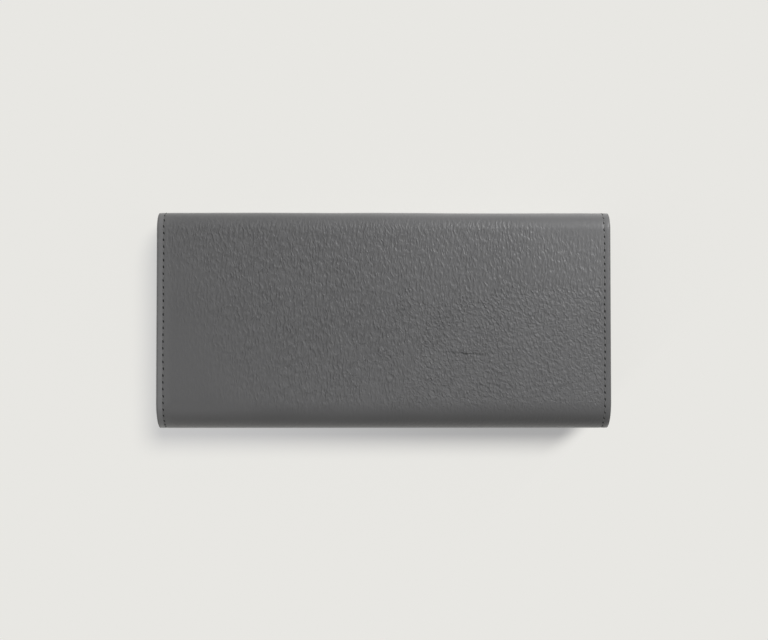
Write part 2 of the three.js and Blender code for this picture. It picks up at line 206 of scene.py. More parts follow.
def pebbles(field, place, size, stretch, turn, flank=0.3):
    """Flat cells, 1 on their tops and 0 in the creases between them, with flanks this wide."""
    marks = stretched(field, place, size, stretch, turn)
    edges = {"voronoi_dimensions": "2D", "feature": "DISTANCE_TO_EDGE"}
    return field.node("ShaderNodeTexVoronoi", edges, {"Vector": marks, "Scale": 1.0}).between(0.0, flank)


def shaken(field, place, size, reach):
    """The place, pushed about by up to reach, so that a pattern on it wanders."""
    flat = {"noise_dimensions": "2D"}
    waves = {"Vector": place, "Scale": 1 / size, "Detail": 1.0}
    push = field.node("ShaderNodeTexNoise", flat, waves, output=1)
    half = (0.5, 0.5, 0.5)
    centred = field.node("ShaderNodeVectorMath", {"operation": "SUBTRACT"}, {0: push, 1: half})
    scaled = field.node("ShaderNodeVectorMath", {"operation": "SCALE"}, {0: centred, "Scale": 2 * reach})
    return field.node("ShaderNodeVectorMath", {"operation": "ADD"}, {0: place, 1: scaled})


def attribute(field, name):
    """A number that each vertex carries under this name."""
    return field.node("ShaderNodeAttribute", {"attribute_name": name}, output=2)


print("the skin map is read in units of", MM, "m")

# %% Folds and long creases
FOLD_LIE = (0.85, -0.53, 0.0)
LONG_CREASES = (
    {"centre": (34.5, 266.5), "half_size": (12.0, 0.8), "turn": 3, "depth": 0.62},
    {"centre": (25.0, 254.6), "half_size": (14.0, 0.7), "turn": 42, "depth": 0.16},
    {"centre": (81.0, 261.0), "half_size": (15.0, 0.7), "turn": 14, "depth": 0.16},
)


def laid_over(field, place, height):
    """The place, drawn back by a height in millimetres, so that a fold there lies over to one side."""
    push = field.node("ShaderNodeVectorMath", {"operation": "SCALE"}, {0: FOLD_LIE, "Scale": height})
    return field.node("ShaderNodeVectorMath", {"operation": "SUBTRACT"}, {0: place, 1: push})


def folds(field, place, size, stretch, turn, lie, pebbled):
    """The grain's height, about 0: broad folds that lie over, finer ones on them, and pebbles."""
    swell = speckle(field, place, size, detail=1.0, stretch=stretch, turn=turn)
    lying = laid_over(field, place, lie * swell)
    broad = speckle(field, lying, size, detail=1.0, stretch=stretch, turn=turn).between(0.3, 0.7)
    fine = speckle(field, lying, 0.6 * size, detail=1.0, stretch=0.7 * stretch, turn=1.6 * turn)
    cells = pebbles(field, lying, 1.5 * size, 0.75 * stretch, 1.2 * turn)
    return 0.48 * broad + 0.16 * fine + pebbled * (cells - 0.6) - 0.36


def long_creases(field, place):
    """How deep the hide sinks in its few long creases, which lie on it in millimetres and degrees."""
    sunk = 0.0
    for crease in LONG_CREASES:
        marks = field.node("ShaderNodeMapping", {"vector_type": "TEXTURE"}, {
            "Vector": place,
            "Location": (*crease["centre"], 0.0),
            "Rotation": (0, 0, math.radians(crease["turn"])),
            "Scale": (*crease["half_size"], 1.0),
        })
        away = field.node("ShaderNodeVectorMath", {"operation": "LENGTH"}, {0: marks}, output="Value")
        sunk = sunk + crease["depth"] * (1 - away.between(0.2, 1.0))
    return sunk


print("long creases:", len(LONG_CREASES))

# %% The grained leather
LEATHER_TONE = grey(88, 88, 89)
# The crease tone is painted shade, laid in the creases and where the grain is low.
CREASE_SHADE_TONE = grey(74, 74, 75)
# The pale tone is partly wear and partly painted light.
WEAR_AND_LIGHT_TONE = grey(113, 113, 114)
# The darkest tone is painted shade for the curl.
CURL_SHADE_TONE = grey(58, 58, 59)
GRAIN_HEIGHT = 0.42 * MM
UPRIGHT_GRAIN = {"size": 1.06, "stretch": 2.8, "turn": 4, "lie": 0.6, "pebbled": 0.1}
LEANING_GRAIN = {"size": 1.12, "stretch": 1.6, "turn": -14, "lie": 1.2, "pebbled": 0.18}


def grained_leather():
    """The hide: grain, creases, wear, painted light, and painted shade on creases, rolls and curl."""
    made, field = new_finish("grained_leather")
    place = hide_place(field)
    wander = shaken(field, place, 4.0, 0.8)
    lean = (attribute(field, "lean") + 0.36 * speckle(field, place, 16.0) - 0.18).between(0.3, 0.6)
    upright = folds(field, wander, **UPRIGHT_GRAIN)
    wrinkles = pebbles(field, wander, 2.8, 1.7, -50, flank=0.28)
    leaning = folds(field, wander, **LEANING_GRAIN) + 0.2 * (wrinkles - 0.6)
    grain = attribute(field, "grain")
    evened = (lean * lean + (1 - lean) * (1 - lean)) ** -0.5
    creases = (upright * (1 - lean) + leaning * lean) * evened - long_creases(field, wander)
    patches = 0.8 + 0.25 * speckle(field, place, 11.0).between(0.36, 0.62)
    relief = creases * grain * patches
    pores = speckle(field, place, 0.22, detail=1.0) - 0.5
    # Paler marks: wear at the slot mouths, and on the hide partly painted light.
    wear_and_light = attribute(field, "wear_and_light") * (0.6 + 0.4 * speckle(field, place, 3.0))
    blot = speckle(field, place, 34.0, detail=1.0)
    # Painted shade: darker in the creases and where the grain is low, on the rolls, along the seams and at
    # the left; the blot is the hide's own uneven tone.
    depth = (relief * 0.5 + 0.53 + 0.25 * grain + (blot - 0.5) * 0.4).between(0.0, 1.0)
    # Painted shade darkens the curl at the right, over the painted shade of the creases.
    shaded_colour = attribute(field, "curl_shade").tint(depth.tint(CREASE_SHADE_TONE, LEATHER_TONE), CURL_SHADE_TONE)
    height = relief + 0.05 * pores
    surface(field, {
        "Base Color": wear_and_light.tint(shaded_colour, WEAR_AND_LIGHT_TONE),
        "Roughness": 0.46 - 0.06 * wear_and_light - 0.18 * relief,
        "Normal": bumps(field, height, GRAIN_HEIGHT),
        "Specular IOR Level": 0.5,
        "Sheen Weight": 0.7,
        "Sheen Roughness": 0.3,
    })
    return made


leather = grained_leather()
print("leather:", len(leather.node_tree.nodes), "nodes")

# %% [markdown]
# ## Lining, edge paint, thread and needle holes
#
# The lining is a thin smooth leather, darker than the hide, so it needs only a close pore and a faint
# cloudiness. The raw edges of the layers are sealed with edge paint, which dries pale and slightly wavy.
# The thread is waxed and grey like the hide: what shows from above is the row of needle holes, drawn as
# pits of painted shade.

# %% The lining, the edge paint and the thread
def object_place(field):
    """The place in the wallet, in millimetres."""
    place = field.node("ShaderNodeTexCoord", {}, {}, output=3)
    return field.node("ShaderNodeVectorMath", {"operation": "SCALE"}, {0: place, "Scale": 1 / MM})


def grit(field, place, size, detail=2.0):
    """A noise in space, of grains of this size."""
    return field.node("ShaderNodeTexNoise", {}, {"Vector": place, "Scale": 1 / size, "Detail": detail})


def lining_leather():
    """The thin leather inside: close pores and a faint cloudiness."""
    made, field = new_finish("lining_leather")
    place = hide_place(field)
    pores = speckle(field, shaken(field, place, 2.0, 0.3), 0.5, detail=2.0)
    cloud = speckle(field, place, 22.0, detail=3.0)
    tone = (0.3 * cloud + 0.7 * pores).between(0.25, 0.75).tint(grey(66, 65, 64), grey(84, 83, 81))
    surface(field, {
        "Base Color": tone,
        "Roughness": 0.62 + 0.16 * (cloud - 0.5),
        "Normal": bumps(field, pores, 0.08 * MM, strength=0.5),
        "Specular IOR Level": 0.4,
    })
    return made


def edge_paint():
    """The sealed edge, slightly wavy."""
    made, field = new_finish("edge_paint")
    place = object_place(field)
    waves = grit(field, place, 1.6)
    surface(field, {
        "Base Color": waves.between(0.3, 0.7).tint(grey(96, 96, 96), grey(108, 108, 108)),
        "Roughness": 0.42 + 0.16 * grit(field, place, 0.5),
        "Normal": bumps(field, waves, 0.06 * MM, strength=0.2),
    })
    return made


def waxed_thread():
    """The thread, with a short fuzz."""
    made, field = new_finish("waxed_thread")
    fuzz = grit(field, object_place(field), 0.25)
    surface(field, {
        "Base Color": fuzz.between(0.3, 0.7).tint(grey(82, 82, 82), grey(112, 112, 112)),
        "Roughness": 0.6 + 0.2 * fuzz,
        "Normal": bumps(field, fuzz, 0.06 * MM, strength=0.6),
    })
    return made


def painted_hole_shade():
    """The painted shade in the needle hole between two stitches."""
    made, field = new_finish("painted_hole_shade")
    rim = grit(field, object_place(field), 0.4)
    surface(field, {
        "Base Color": rim.between(0.2, 0.8).tint(grey(22, 22, 22), grey(40, 40, 40)),
        "Roughness": 0.9 - 0.1 * rim,
        "Specular IOR Level": 0.1,
    })
    return made


lining = lining_leather()
paint = edge_paint()
thread = waxed_thread()
hole_shade = painted_hole_shade()
print("soft finishes:", [m.name for m in (lining, paint, thread, hole_shade)])

# %% [markdown]
# ## Metal, zip tape and board
#
# The zip and the press stud are nickel, plated dark and rubbed bright by use, so the roughness carries
# fine scratches. The tape is a herringbone weave, drawn as two crossed waves. The boards inside the flap
# and the back never show unless a layer is lifted off, but they get their own speckled fibre all the same.

# %% The metal, the tape and the board
def dark_nickel():
    """Plated metal with fine scratches along X."""
    made, field = new_finish("dark_nickel")
    place = object_place(field)
    scratches = field.node(
        "ShaderNodeMapping", {"vector_type": "TEXTURE"}, {"Vector": place, "Scale": (2.4, 0.12, 0.12)}
    )
    marks = grit(field, scratches, 1.0, detail=3.0)
    paling = grit(field, place, 3.0)
    surface(field, {
        "Base Color": paling.between(0.3, 0.7).tint(grey(168, 169, 171), grey(196, 197, 198)),
        "Metallic": 1.0,
        "Roughness": 0.2 + 0.16 * marks + 0.08 * paling,
        "Normal": bumps(field, marks, 0.03 * MM, strength=0.12),
    })
    return made


def woven_tape():
    """The zip's tape: two crossed waves."""
    made, field = new_finish("woven_tape")
    place = object_place(field)
    bands = {"wave_type": "BANDS", "bands_direction": "DIAGONAL"}
    warp = field.node("ShaderNodeTexWave", bands, {"Vector": place, "Scale": 0.9, "Distortion": 0.4})
    mirrored = field.node("ShaderNodeMapping", {}, {"Vector": place, "Scale": (-1, 1, 1)})
    weft = field.node("ShaderNodeTexWave", bands, {"Vector": mirrored, "Scale": 0.9, "Distortion": 0.4})
    weave = 0.5 * warp + 0.5 * weft
    surface(field, {
        "Base Color": weave.tint(grey(44, 44, 45), grey(70, 70, 71)),
        "Roughness": 0.9 - 0.1 * weave,
        "Normal": bumps(field, weave, 0.1 * MM, strength=0.7),
        "Specular IOR Level": 0.2,
    })
    return made


def fibre_board():
    """The stiffener inside the flap and the back."""
    made, field = new_finish("fibre_board")
    fibres = grit(field, object_place(field), 0.8, detail=4.0)
    surface(field, {
        "Base Color": fibres.between(0.3, 0.7).tint(grey(132, 112, 86), grey(166, 146, 116)),
        "Roughness": 0.9 - 0.1 * fibres,
        "Normal": bumps(field, fibres, 0.1 * MM, strength=0.4),
    })
    return made


nickel = dark_nickel()
tape = woven_tape()
board = fibre_board()
print("hard finishes:", [m.name for m in (nickel, tape, board)])

# %% [markdown]
# ## The course of the hide
#
# Seen from its end, the hide is a line of straight and round stretches. We follow it from the front's
# mouth, down the front, round the bottom fold, along the back, up the spine, over the hinge roll and
# along the flap to its tail. A point of any layer is then a distance along that course and a depth below
# its skin, so leather, lining, thread and paint all share one description and always fit each other.

# %% The course of the hide
HINGE_ROLL = 8.0 * MM
FREE_ROLL = 12.0 * MM
LEATHER = 1.4 * MM
FRONT_LEATHER = 1.2 * MM
LINING = 0.6 * MM
GLUE = 0.1 * MM

half_width = cad_high.x
hinge_edge = cad_high.y
free_edge = cad_low.y
top_face = cad_high.z
front_low, front_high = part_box("front_panel")
tail_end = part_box("flap_panel")[0].z
body_fold = front_high.z / 2


def straight(start, end):
    """A flat stretch from start to end in (y, z), with its outside on the right; it may be overrun."""
    start = np.array(start)
    length = float(np.linalg.norm(np.array(end) - start))
    along = (np.array(end) - start) / length
    outward = np.array([along[1], -along[0]])
    return length, lambda distance: (start + along * distance, outward)


def bend(centre, radius, first, last):
    """A round stretch from one angle to another, in degrees, anticlockwise from +Y."""
    def at(distance):
        angle = math.radians(first) + distance / radius
        outward = np.array([math.cos(angle), math.sin(angle)])
        return np.array(centre) + radius * outward, outward

    return radius * math.radians(last - first), at


class Course:
    """Stretches of skin in a row, and the distance along them at which each one starts."""

    def __init__(self, *stretches):
        self.stretches = stretches
        self.starts = np.concatenate([[0.0], np.cumsum([length for length, _ in stretches])])

    def at(self, distance):
        """The skin's (y, z) and its outward direction at this distance."""
        last = len(self.stretches) - 1
        index = min(max(int(np.searchsorted(self.starts, distance, side="right")) - 1, 0), last)
        return self.stretches[index][1](distance - self.starts[index])

    def place(self, x, distance, depth):
        """The point at x, this far along the course and this deep below its skin."""
        skin, outward = self.at(distance)
        y, z = skin - outward * depth
        return Vector((x, y, z))

    def out(self, distance):
        """The outward direction at this distance, in space."""
        _, outward = self.at(distance)
        return Vector((0.0, outward[0], outward[1]))


fold_y = front_low.y + body_fold
hinge_y = hinge_edge - HINGE_ROLL
free_y = free_edge + FREE_ROLL
free_z = top_face - FREE_ROLL
hinge_z = top_face - HINGE_ROLL
hide = Course(
    straight((front_high.y, front_high.z), (fold_y, front_high.z)),
    bend((fold_y, body_fold), body_fold, 90, 270),
    straight((fold_y, 0.0), (hinge_y, 0.0)),
    bend((hinge_y, HINGE_ROLL), HINGE_ROLL, -90, 0),
    straight((hinge_edge, HINGE_ROLL), (hinge_edge, hinge_z)),
    bend((hinge_y, hinge_z), HINGE_ROLL, 0, 90),
    straight((hinge_y, top_face), (free_y, top_face)),
    bend((free_y, free_z), FREE_ROLL, 90, 180),
    straight((free_edge, free_z), (free_edge, tail_end)),
)
MOUTH, FOLD, BACK, BACK_ROLL, SPINE, TOP_ROLL, FLAP, CURL, TAIL, HIDE_END = hide.starts
UNDERSIDE = BACK + 0.5 * MM
MID_SPINE = (SPINE + TOP_ROLL) / 2
print(f"the hide is {HIDE_END / MM:.1f} mm long, cut flat, and its flap starts at {FLAP / MM:.1f} mm")

# %% [markdown]
# ## Leather as a closed layer
#
# A layer could be a plane with a Solidify modifier, but then its edges would be sharp and its thickness
# the same everywhere. We build both faces as grids instead, with lines close together near the edges, so
# that the leather can be turned over at its rim, pulled down along a seam and left slightly uneven, as
# leather is. The rim gets the edge paint.

# %% Lines, faces and maps of a layer
EDGE_LINES = MM * np.array([
    0.0, 0.05, 0.14, 0.28, 0.5, 0.8, 1.1, 1.4, 1.7, 2.0, 2.3, 2.6, 2.9, 3.2, 3.5, 3.9, 4.4, 5.0,
])
END_LINES = EDGE_LINES[:8]
FINE_STEP = 1.6 * MM
COARSE_STEP = 2.2 * MM
LINE_GAP = 0.2 * MM
NUDGE = 1e-6
STRAIGHT = 0.99
BEND_SHARE = 0.45


def lines_across(half, step):
    """Places from -half to half, close together near both sides."""
    inner = half - EDGE_LINES[-1]
    middle = np.linspace(-inner, inner, max(2, round(2 * inner / step)) + 1)
    return np.concatenate([-half + EDGE_LINES[:-1], middle, half - EDGE_LINES[-2::-1]])


def lines_along(course, span, step, free):
    """Distances along a course, closer on its bends and at a free end."""
    low, high = span
    marks = [low, *[s for s in course.starts if low < s < high], high]
    stops = []
    for first, last in zip(marks, marks[1:]):
        _, before = course.at(first + NUDGE)
        _, after = course.at(last - NUDGE)
        fine = BEND_SHARE * step if np.dot(before, after) < STRAIGHT else step
        stops.extend(np.linspace(first, last, max(1, round((last - first) / fine)) + 1)[:-1])
    stops = np.array([*stops, high])
    if free[0]:
        stops = np.concatenate([low + END_LINES, stops[stops > low + END_LINES[-1] + LINE_GAP]])
    if free[1]:
        stops = np.concatenate([stops[stops < high - END_LINES[-1] - LINE_GAP], high - END_LINES[::-1]])
    return stops


def new_piece(name, points, faces):
    """A mesh object at the origin, with its place in its mesh."""
    mesh = bpy.data.meshes.new(name)
    mesh.from_pydata([tuple(p) for p in points], [], faces)
    mesh.shade_smooth()
    made = bpy.data.objects.new(name, mesh)
    bpy.context.scene.collection.objects.link(made)
    return made


def set_skin(mesh, flat):
    """Writes the skin map from one place on the flat hide for each vertex."""
    corner = np.empty(len(mesh.loops), dtype=np.int32)
    mesh.loops.foreach_get("vertex_index", corner)
    mesh.uv_layers.new(name="skin").data.foreach_set("uv", flat[corner].astype(np.float32).ravel())


def set_values(mesh, name, values):
    """Writes one number for each vertex."""
    mesh.attributes.new(name, "FLOAT", "POINT").data.foreach_set("value", values.astype(np.float32))


def grid_faces(rows, columns, first, flip):
    """The faces of a grid of points that starts at vertex first."""
    faces = []
    for r in range(rows - 1):
        for c in range(columns - 1):
            a = first + r * columns + c
            face = (a, a + 1, a + columns + 1, a + columns)
            faces.append(face[::-1] if flip else face)
    return faces


def rim_faces(rows, columns):
    """The faces that join the edges of two grids, the second of which follows the first."""
    top = list(range(columns))
    right = [r * columns + columns - 1 for r in range(1, rows)]
    bottom = [(rows - 1) * columns + c for c in range(columns - 2, -1, -1)]
    left = [r * columns for r in range(rows - 2, 0, -1)]
    ring = top + right + bottom + left
    below = rows * columns
    return [(a, a + below, b + below, b) for a, b in zip(ring, ring[1:] + ring[:1])]


def lip(inward, radius):
    """How far a rounded rim drops, this far in from the edge."""
    missing = np.clip(radius - inward, 0.0, radius)
    return radius - np.sqrt(np.maximum(radius**2 - missing**2, 0.0))


print("lines within", round(EDGE_LINES[-1] / MM, 1), "mm of a side:", len(EDGE_LINES))

# %% Building a layer
LIP_SHARE = 0.42
SHARP_LEATHER = math.radians(50)
MARKS = ("grain", "lean", "wear_and_light", "curl_shade")


def layer(name, course, span, half, near, far, finishes, shape, marks=None,
          step=FINE_STEP, corner=(0.0, 0.0), free=(False, False)):
    """A closed layer between two depths; shape lowers both faces, and marks gives a hide its MARKS."""
    across = lines_across(half, step)
    along = lines_along(course, span, step, free)
    x, d = np.meshgrid(across, along)
    for radius, away in ((corner[0], d - span[0]), (corner[1], span[1] - d)):
        if radius:
            x = x * (half - lip(away, radius)) / half
    inward = half - np.abs(np.broadcast_to(across, x.shape))
    if free[0]:
        inward = np.minimum(inward, d - span[0])
    if free[1]:
        inward = np.minimum(inward, span[1] - d)
    skins = [course.at(distance) for distance in along]
    skin_y, skin_z = np.array([s[0] for s in skins]).T
    out_y, out_z = np.array([s[1] for s in skins]).T
    drop = lip(inward, LIP_SHARE * (far - near))
    bent = shape(x, d)
    outer = near + drop + bent
    inner = far - drop + bent
    points = []
    for depth in (outer, inner):
        y = skin_y[:, None] - out_y[:, None] * depth
        z = skin_z[:, None] - out_z[:, None] * depth
        points.append(np.stack([x, y, z], axis=-1).reshape(-1, 3))
    rows, columns = x.shape
    face_lists = [
        grid_faces(rows, columns, 0, True),
        grid_faces(rows, columns, rows * columns, False),
        rim_faces(rows, columns),
    ]
    made = new_piece(name, np.concatenate(points), sum(face_lists, []))
    flat = np.tile(np.stack([x, d], axis=-1).reshape(-1, 2), (2, 1))
    set_skin(made.data, flat)
    if marks:
        for label, values in zip(MARKS, marks(x, d)):
            set_values(made.data, label, np.tile(np.broadcast_to(values, x.shape).ravel(), 2))
    for finish in finishes:
        made.data.materials.append(finish)
    last = len(finishes) - 1
    kind = np.concatenate([np.full(len(faces), min(i, last)) for i, faces in enumerate(face_lists)])
    made.data.polygons.foreach_set("material_index", kind.astype(np.int32))
    made.data.set_sharp_from_angle(angle=SHARP_LEATHER)
    print(f"{name}: {len(made.data.polygons)} faces")
    return made


print("a hide carries", MARKS)

# %% [markdown]
# ## The hide: flap, back and front
#
# The hide is one piece, but it is cut in three where no fold moves: half way up the spine and on the
# underside. The three parts meet edge to edge and share the skin map, so the cuts don't show. A shape
# field presses the leather down along the stitch lines and leaves the broad faces a little uneven. The
# marks say
# how the hide has aged: its grain is pressed flat at the left, on the rolls and along the seams, and its
# sides and the flap above its curl are drawn paler. Painted highlights lie on the hinge rim and below it
# at the right, painted light lies where the curl starts at the left, and painted shade darkens the curl at
# the right.

# %% The shape of the hide
PAINT_WIDTH = 0.4 * MM
STITCH_LEFT = 3.05 * MM
STITCH_RIGHT = 2.75 * MM
STITCH_END = 3.1 * MM
GROOVE = 0.12 * MM
GROOVE_WIDTH = 0.45 * MM
HIDE_SWELL = {"height": 0.14 * MM, "size": 38 * MM, "seed": 1.5}
HIDE_RIPPLE = {"height": 0.04 * MM, "size": 7 * MM, "seed": 4.5}
LOOSE_FROM = 8 * MM
hide_half = half_width - PAINT_WIDTH


def waviness(x, d, height, size, seed):
    """A smooth unevenness of the flat hide, up to this height, in swells of this size."""
    points = np.stack([x.ravel() / size, d.ravel() / size, np.full(x.size, seed)], axis=-1)
    return height * np.array([noise.noise(Vector(p)) for p in points]).reshape(x.shape)


def from_stitch(x, d):
    """Distance outside the nearest seam of the hide, below 0 inside it."""
    side = np.where(x < 0, -x - (half_width - STITCH_LEFT), x - (half_width - STITCH_RIGHT))
    return np.maximum(side, MOUTH + STITCH_END - d)


def pulled_down(away, width):
    """How deep a seam draws the leather down, this far from its stitches."""
    return GROOVE * np.exp(-((away / width) ** 2))


def hide_shape(x, d):
    """How deep the hide lies below its plain course."""
    line = from_stitch(x, d)
    uneven = waviness(x, d, **HIDE_SWELL) + waviness(x, d, **HIDE_RIPPLE)
    inward = np.minimum(-line, HIDE_END - STITCH_END - d)
    loose = np.clip(inward / LOOSE_FROM, 0.0, 1.0)
    return pulled_down(line, GROOVE_WIDTH) + uneven * loose


print("seams", round(STITCH_LEFT / MM, 2), "and", round(STITCH_RIGHT / MM, 2), "mm in from the sides")

# %% The marks on the hide
def smooth(value, low, high):
    """0 below low, 1 above high, with an eased slope in between."""
    share = np.clip((value - low) / (high - low), 0.0, 1.0)
    return share * share * (3 - 2 * share)


def across_flap(x):
    """0 at the left side of the wallet and 1 at its right side."""
    return (x + half_width) / (2 * half_width)


def down_flap(d):
    """0 where the flat of the flap starts and 1 where the flap begins to curl."""
    return np.clip((d - FLAP) / (CURL - FLAP), 0.0, 1.0)


def round_curl(d):
    """0 on the flat of the flap and 1 on the steep part of its curl."""
    return smooth(d, CURL + 4 * MM, CURL + 9.5 * MM)


def raised_grain(x, d):
    """How far the grain stands up: little at the left, on the rolls and along the seams."""
    rightward = across_flap(x)
    downward = down_flap(d)
    spread = smooth(rightward - 0.2 * downward, -0.16, 0.18)
    strength = 1.95 - 1.25 * rightward + (0.1 + 0.2 * rightward) * smooth(downward, 0.15, 0.5)
    sets_in = smooth(d - FLAP - 7 * MM * smooth(rightward, 0.75, 1.0), -10 * MM, 3 * MM)
    runs_out = 1 - smooth(d, CURL - 3 * MM, CURL + 8 * MM)
    on_flap = np.minimum(sets_in, runs_out) * np.maximum(spread, 0.12) * strength
    before_hinge = 1 - smooth(d, TOP_ROLL - 3 * MM, TOP_ROLL + 4 * MM)
    on_body = (0.7 - 0.3 * smooth(d, BACK_ROLL - 9 * MM, BACK_ROLL)) * before_hinge
    off_seam = smooth(-from_stitch(x, d), 0.2 * MM, 2 * MM)
    # Where this is low, the leather's colour also gets painted shade.
    return np.maximum(np.maximum(on_flap, on_body), 0.15) * off_seam


def paleness_and_painted_light(x, d):
    """How much paler the hide is: at its sides, above its curl, and painted light about hinge and curl."""
    rightward = across_flap(x)
    downward = down_flap(d)
    line = from_stitch(x, d)
    # Paler towards the seams and past them to the edge, much more at the left than at the right, and at
    # the left more towards the bottom.
    paling = 0.25 * smooth(line, -5 * MM, 0.0) + 0.65 * smooth(line, -0.2 * MM, 0.7 * MM)
    sides = np.where(x < 0, 0.85 + 0.35 * downward, 0.15) * paling
    # Painted highlight along the hinge rim, stronger towards the right.
    on_hinge = smooth(FLAP - d, 5 * MM, 9 * MM) * (1 - smooth(FLAP - d, 15 * MM, 23 * MM))
    hinge_highlight = on_hinge * (0.3 + 0.35 * smooth(rightward, 0.1, 0.6))
    # Painted light on the lower hinge roll and the top of the flap, at the right.
    below_hinge = smooth(d, FLAP - 6 * MM, FLAP) * (1 - smooth(downward, 0.05, 0.5))
    upper_right_light = 0.13 * smooth(rightward, 0.55, 0.95) * below_hinge
    # Paler on the flap above its curl, more towards the right.
    above_curl = smooth(downward, 0.45, 0.95) * (1 - smooth(d, CURL - 4 * MM, CURL + 5 * MM))
    paler_above_curl = (0.06 + 0.12 * rightward) * above_curl
    # Painted light where the curl starts, at the left.
    onto_curl = smooth(d, CURL - 1 * MM, CURL + 4 * MM) * (1 - round_curl(d))
    curl_start_light = 0.24 * (1 - smooth(rightward, 0.1, 0.3)) * onto_curl
    return np.maximum.reduce([sides, hinge_highlight, upper_right_light, paler_above_curl, curl_start_light])


def hide_marks(x, d):
    """Grain, lean, wear and painted light, and the curl's painted shade, of the hide."""
    rightward = across_flap(x)
    lean = 0.05 + rightward * (0.2 + 0.52 * smooth(down_flap(d), 0.15, 0.55))
    # Painted shade, darker towards the right on the steep part of the curl.
    curl_shade = 0.75 * rightward * round_curl(d)
    return raised_grain(x, d), lean, paleness_and_painted_light(x, d), curl_shade


middle_lean = hide_marks(np.zeros(1), np.array([(FLAP + CURL) / 2]))[1][0]
print("in the middle of the flap the grain leans by", round(middle_lean, 2))

# %% The three parts of the hide
CORNER = 3 * MM
hide_finishes = [leather, lining, paint]
flap_leather = layer(
    "flap_leather", hide, (MID_SPINE, HIDE_END), hide_half, 0.0, LEATHER, hide_finishes,
    corner=(0.0, CORNER), free=(False, True), shape=hide_shape, marks=hide_marks,
)
back_leather = layer(
    "back_leather", hide, (UNDERSIDE, MID_SPINE), hide_half, 0.0, LEATHER, hide_finishes,
    shape=hide_shape, marks=hide_marks,
)
front_leather = layer(
    "front_leather", hide, (MOUTH, UNDERSIDE), hide_half, 0.0, FRONT_LEATHER, hide_finishes,
    corner=(CORNER, 0.0), free=(True, False), shape=hide_shape, marks=hide_marks,
)

# %% [markdown]
# ## The parts of the hide at the folds
#
# Three of the folds move: the back turns into the spine, the spine into the flap, and the bottom fold lets
# the front fan open. Each part of the hide is handed to a step named for its fold, and so are the lining,
# paint and thread on the same part of the wrap; each step only bakes the part's place into its mesh.

# %% The steps named for the folds
def over_hinge(piece):
    """Bakes the place of a piece over the hinge roll into its mesh."""
    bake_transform(piece)


def over_back(piece):
    """Bakes the place of a piece over the lower roll into its mesh."""
    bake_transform(piece)


def over_fold(piece):
    """Bakes the place of a piece round the bottom fold into its mesh."""
    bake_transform(piece)


for piece, follow, nodes in (
    (flap_leather, over_hinge, ("flap_panel", "spine_panel")),
    (back_leather, over_back, ("back_panel",)),
    (front_leather, over_fold, ("front_panel",)),
):
    follow(piece)
    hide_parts(*nodes)

# %% [markdown]
# ## The linings
#
# Behind the hide lies a lining, with a thin board between them in the flap and the back. Outside the
# board the two are glued and sewn together, so the lining rises to meet the hide there. That step is what
# makes the sewn margin of a real flap thinner than its middle.

# %% The linings
BOARD_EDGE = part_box("flap_board")[1].x
LINING_INSET = 0.1 * MM
LINING_RIPPLE = {"height": 0.04 * MM, "size": 16 * MM, "seed": 8.5}
lining_half = hide_half - LINING_INSET
lining_finishes = [lining, lining, paint]
wrap_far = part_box("flap_panel")[1].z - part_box("flap_board")[0].z + GLUE + LINING
wrap_near = wrap_far - LINING
front_near = FRONT_LEATHER + GLUE
front_far = front_near + LINING


def beside_board(x):
    """0 over the board and 1 outside it."""
    return smooth(np.abs(x), BOARD_EDGE - 0.5 * MM, BOARD_EDGE + 1.5 * MM)


def glued_down(room, ends):
    """A shape that lifts a layer by room outside the board and at the ends of the hide."""
    def shape(x, d):
        margin = beside_board(x)
        for end in ends:
            margin = np.maximum(margin, 1 - smooth(np.abs(d - end), 2.5 * MM, 5 * MM))
        return -room * margin + waviness(x, d, **LINING_RIPPLE) * (1 - margin)

    return shape


def fold_shape(x, d):
    """Sinks the front's lining to the depth of the back's, behind the board, round the fold."""
    return (wrap_near - front_near) * smooth(d, FOLD, BACK) * (1 - beside_board(x))


lift = wrap_near - LEATHER
flap_lining = layer(
    "flap_lining_sheet", hide, (MID_SPINE, HIDE_END), lining_half, wrap_near, wrap_far, lining_finishes,
    step=COARSE_STEP, corner=(0.0, CORNER), free=(False, True),
    shape=glued_down(lift, [HIDE_END]),
)
back_lining = layer(
    "back_lining_sheet", hide, (UNDERSIDE, MID_SPINE), lining_half, wrap_near, wrap_far, lining_finishes,
    step=COARSE_STEP, shape=glued_down(lift, []),
)
front_lining = layer(
    "front_lining_sheet", hide, (MOUTH, UNDERSIDE), lining_half, front_near, front_far, lining_finishes,
    step=COARSE_STEP, corner=(CORNER, 0.0), free=(True, False), shape=fold_shape,
)
for piece, follow, nodes in (
    (flap_lining, over_hinge, ("flap_lining", "spine_lining")),
    (back_lining, over_back, ("back_lining",)),
    (front_lining, over_fold, ("front_lining",)),
):
    follow(piece)
    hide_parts(*nodes)

# %% [markdown]
# ## Edge paint
#
# The cut edge of hide and lining is rubbed down and painted in several coats, until it is a smooth, round
# bead. It is a tube with an oval section that follows the outline of each panel. The outline is drawn on
# the flat hide, where it is two sides, two round corners and an end, and the course folds it into space.

# %% The edge paint
SECTION_SIDES = 10
PAINT_NEAR = 0.02 * MM
CORNER_STEPS = 8


def side_line(x, first, last, step=1.0 * MM):
    """Points (x, distance, outward x, outward distance) along one side of the hide."""
    count = max(2, round(abs(last - first) / step))
    return [(x, d, math.copysign(1, x), 0.0) for d in np.linspace(first, last, count + 1)]


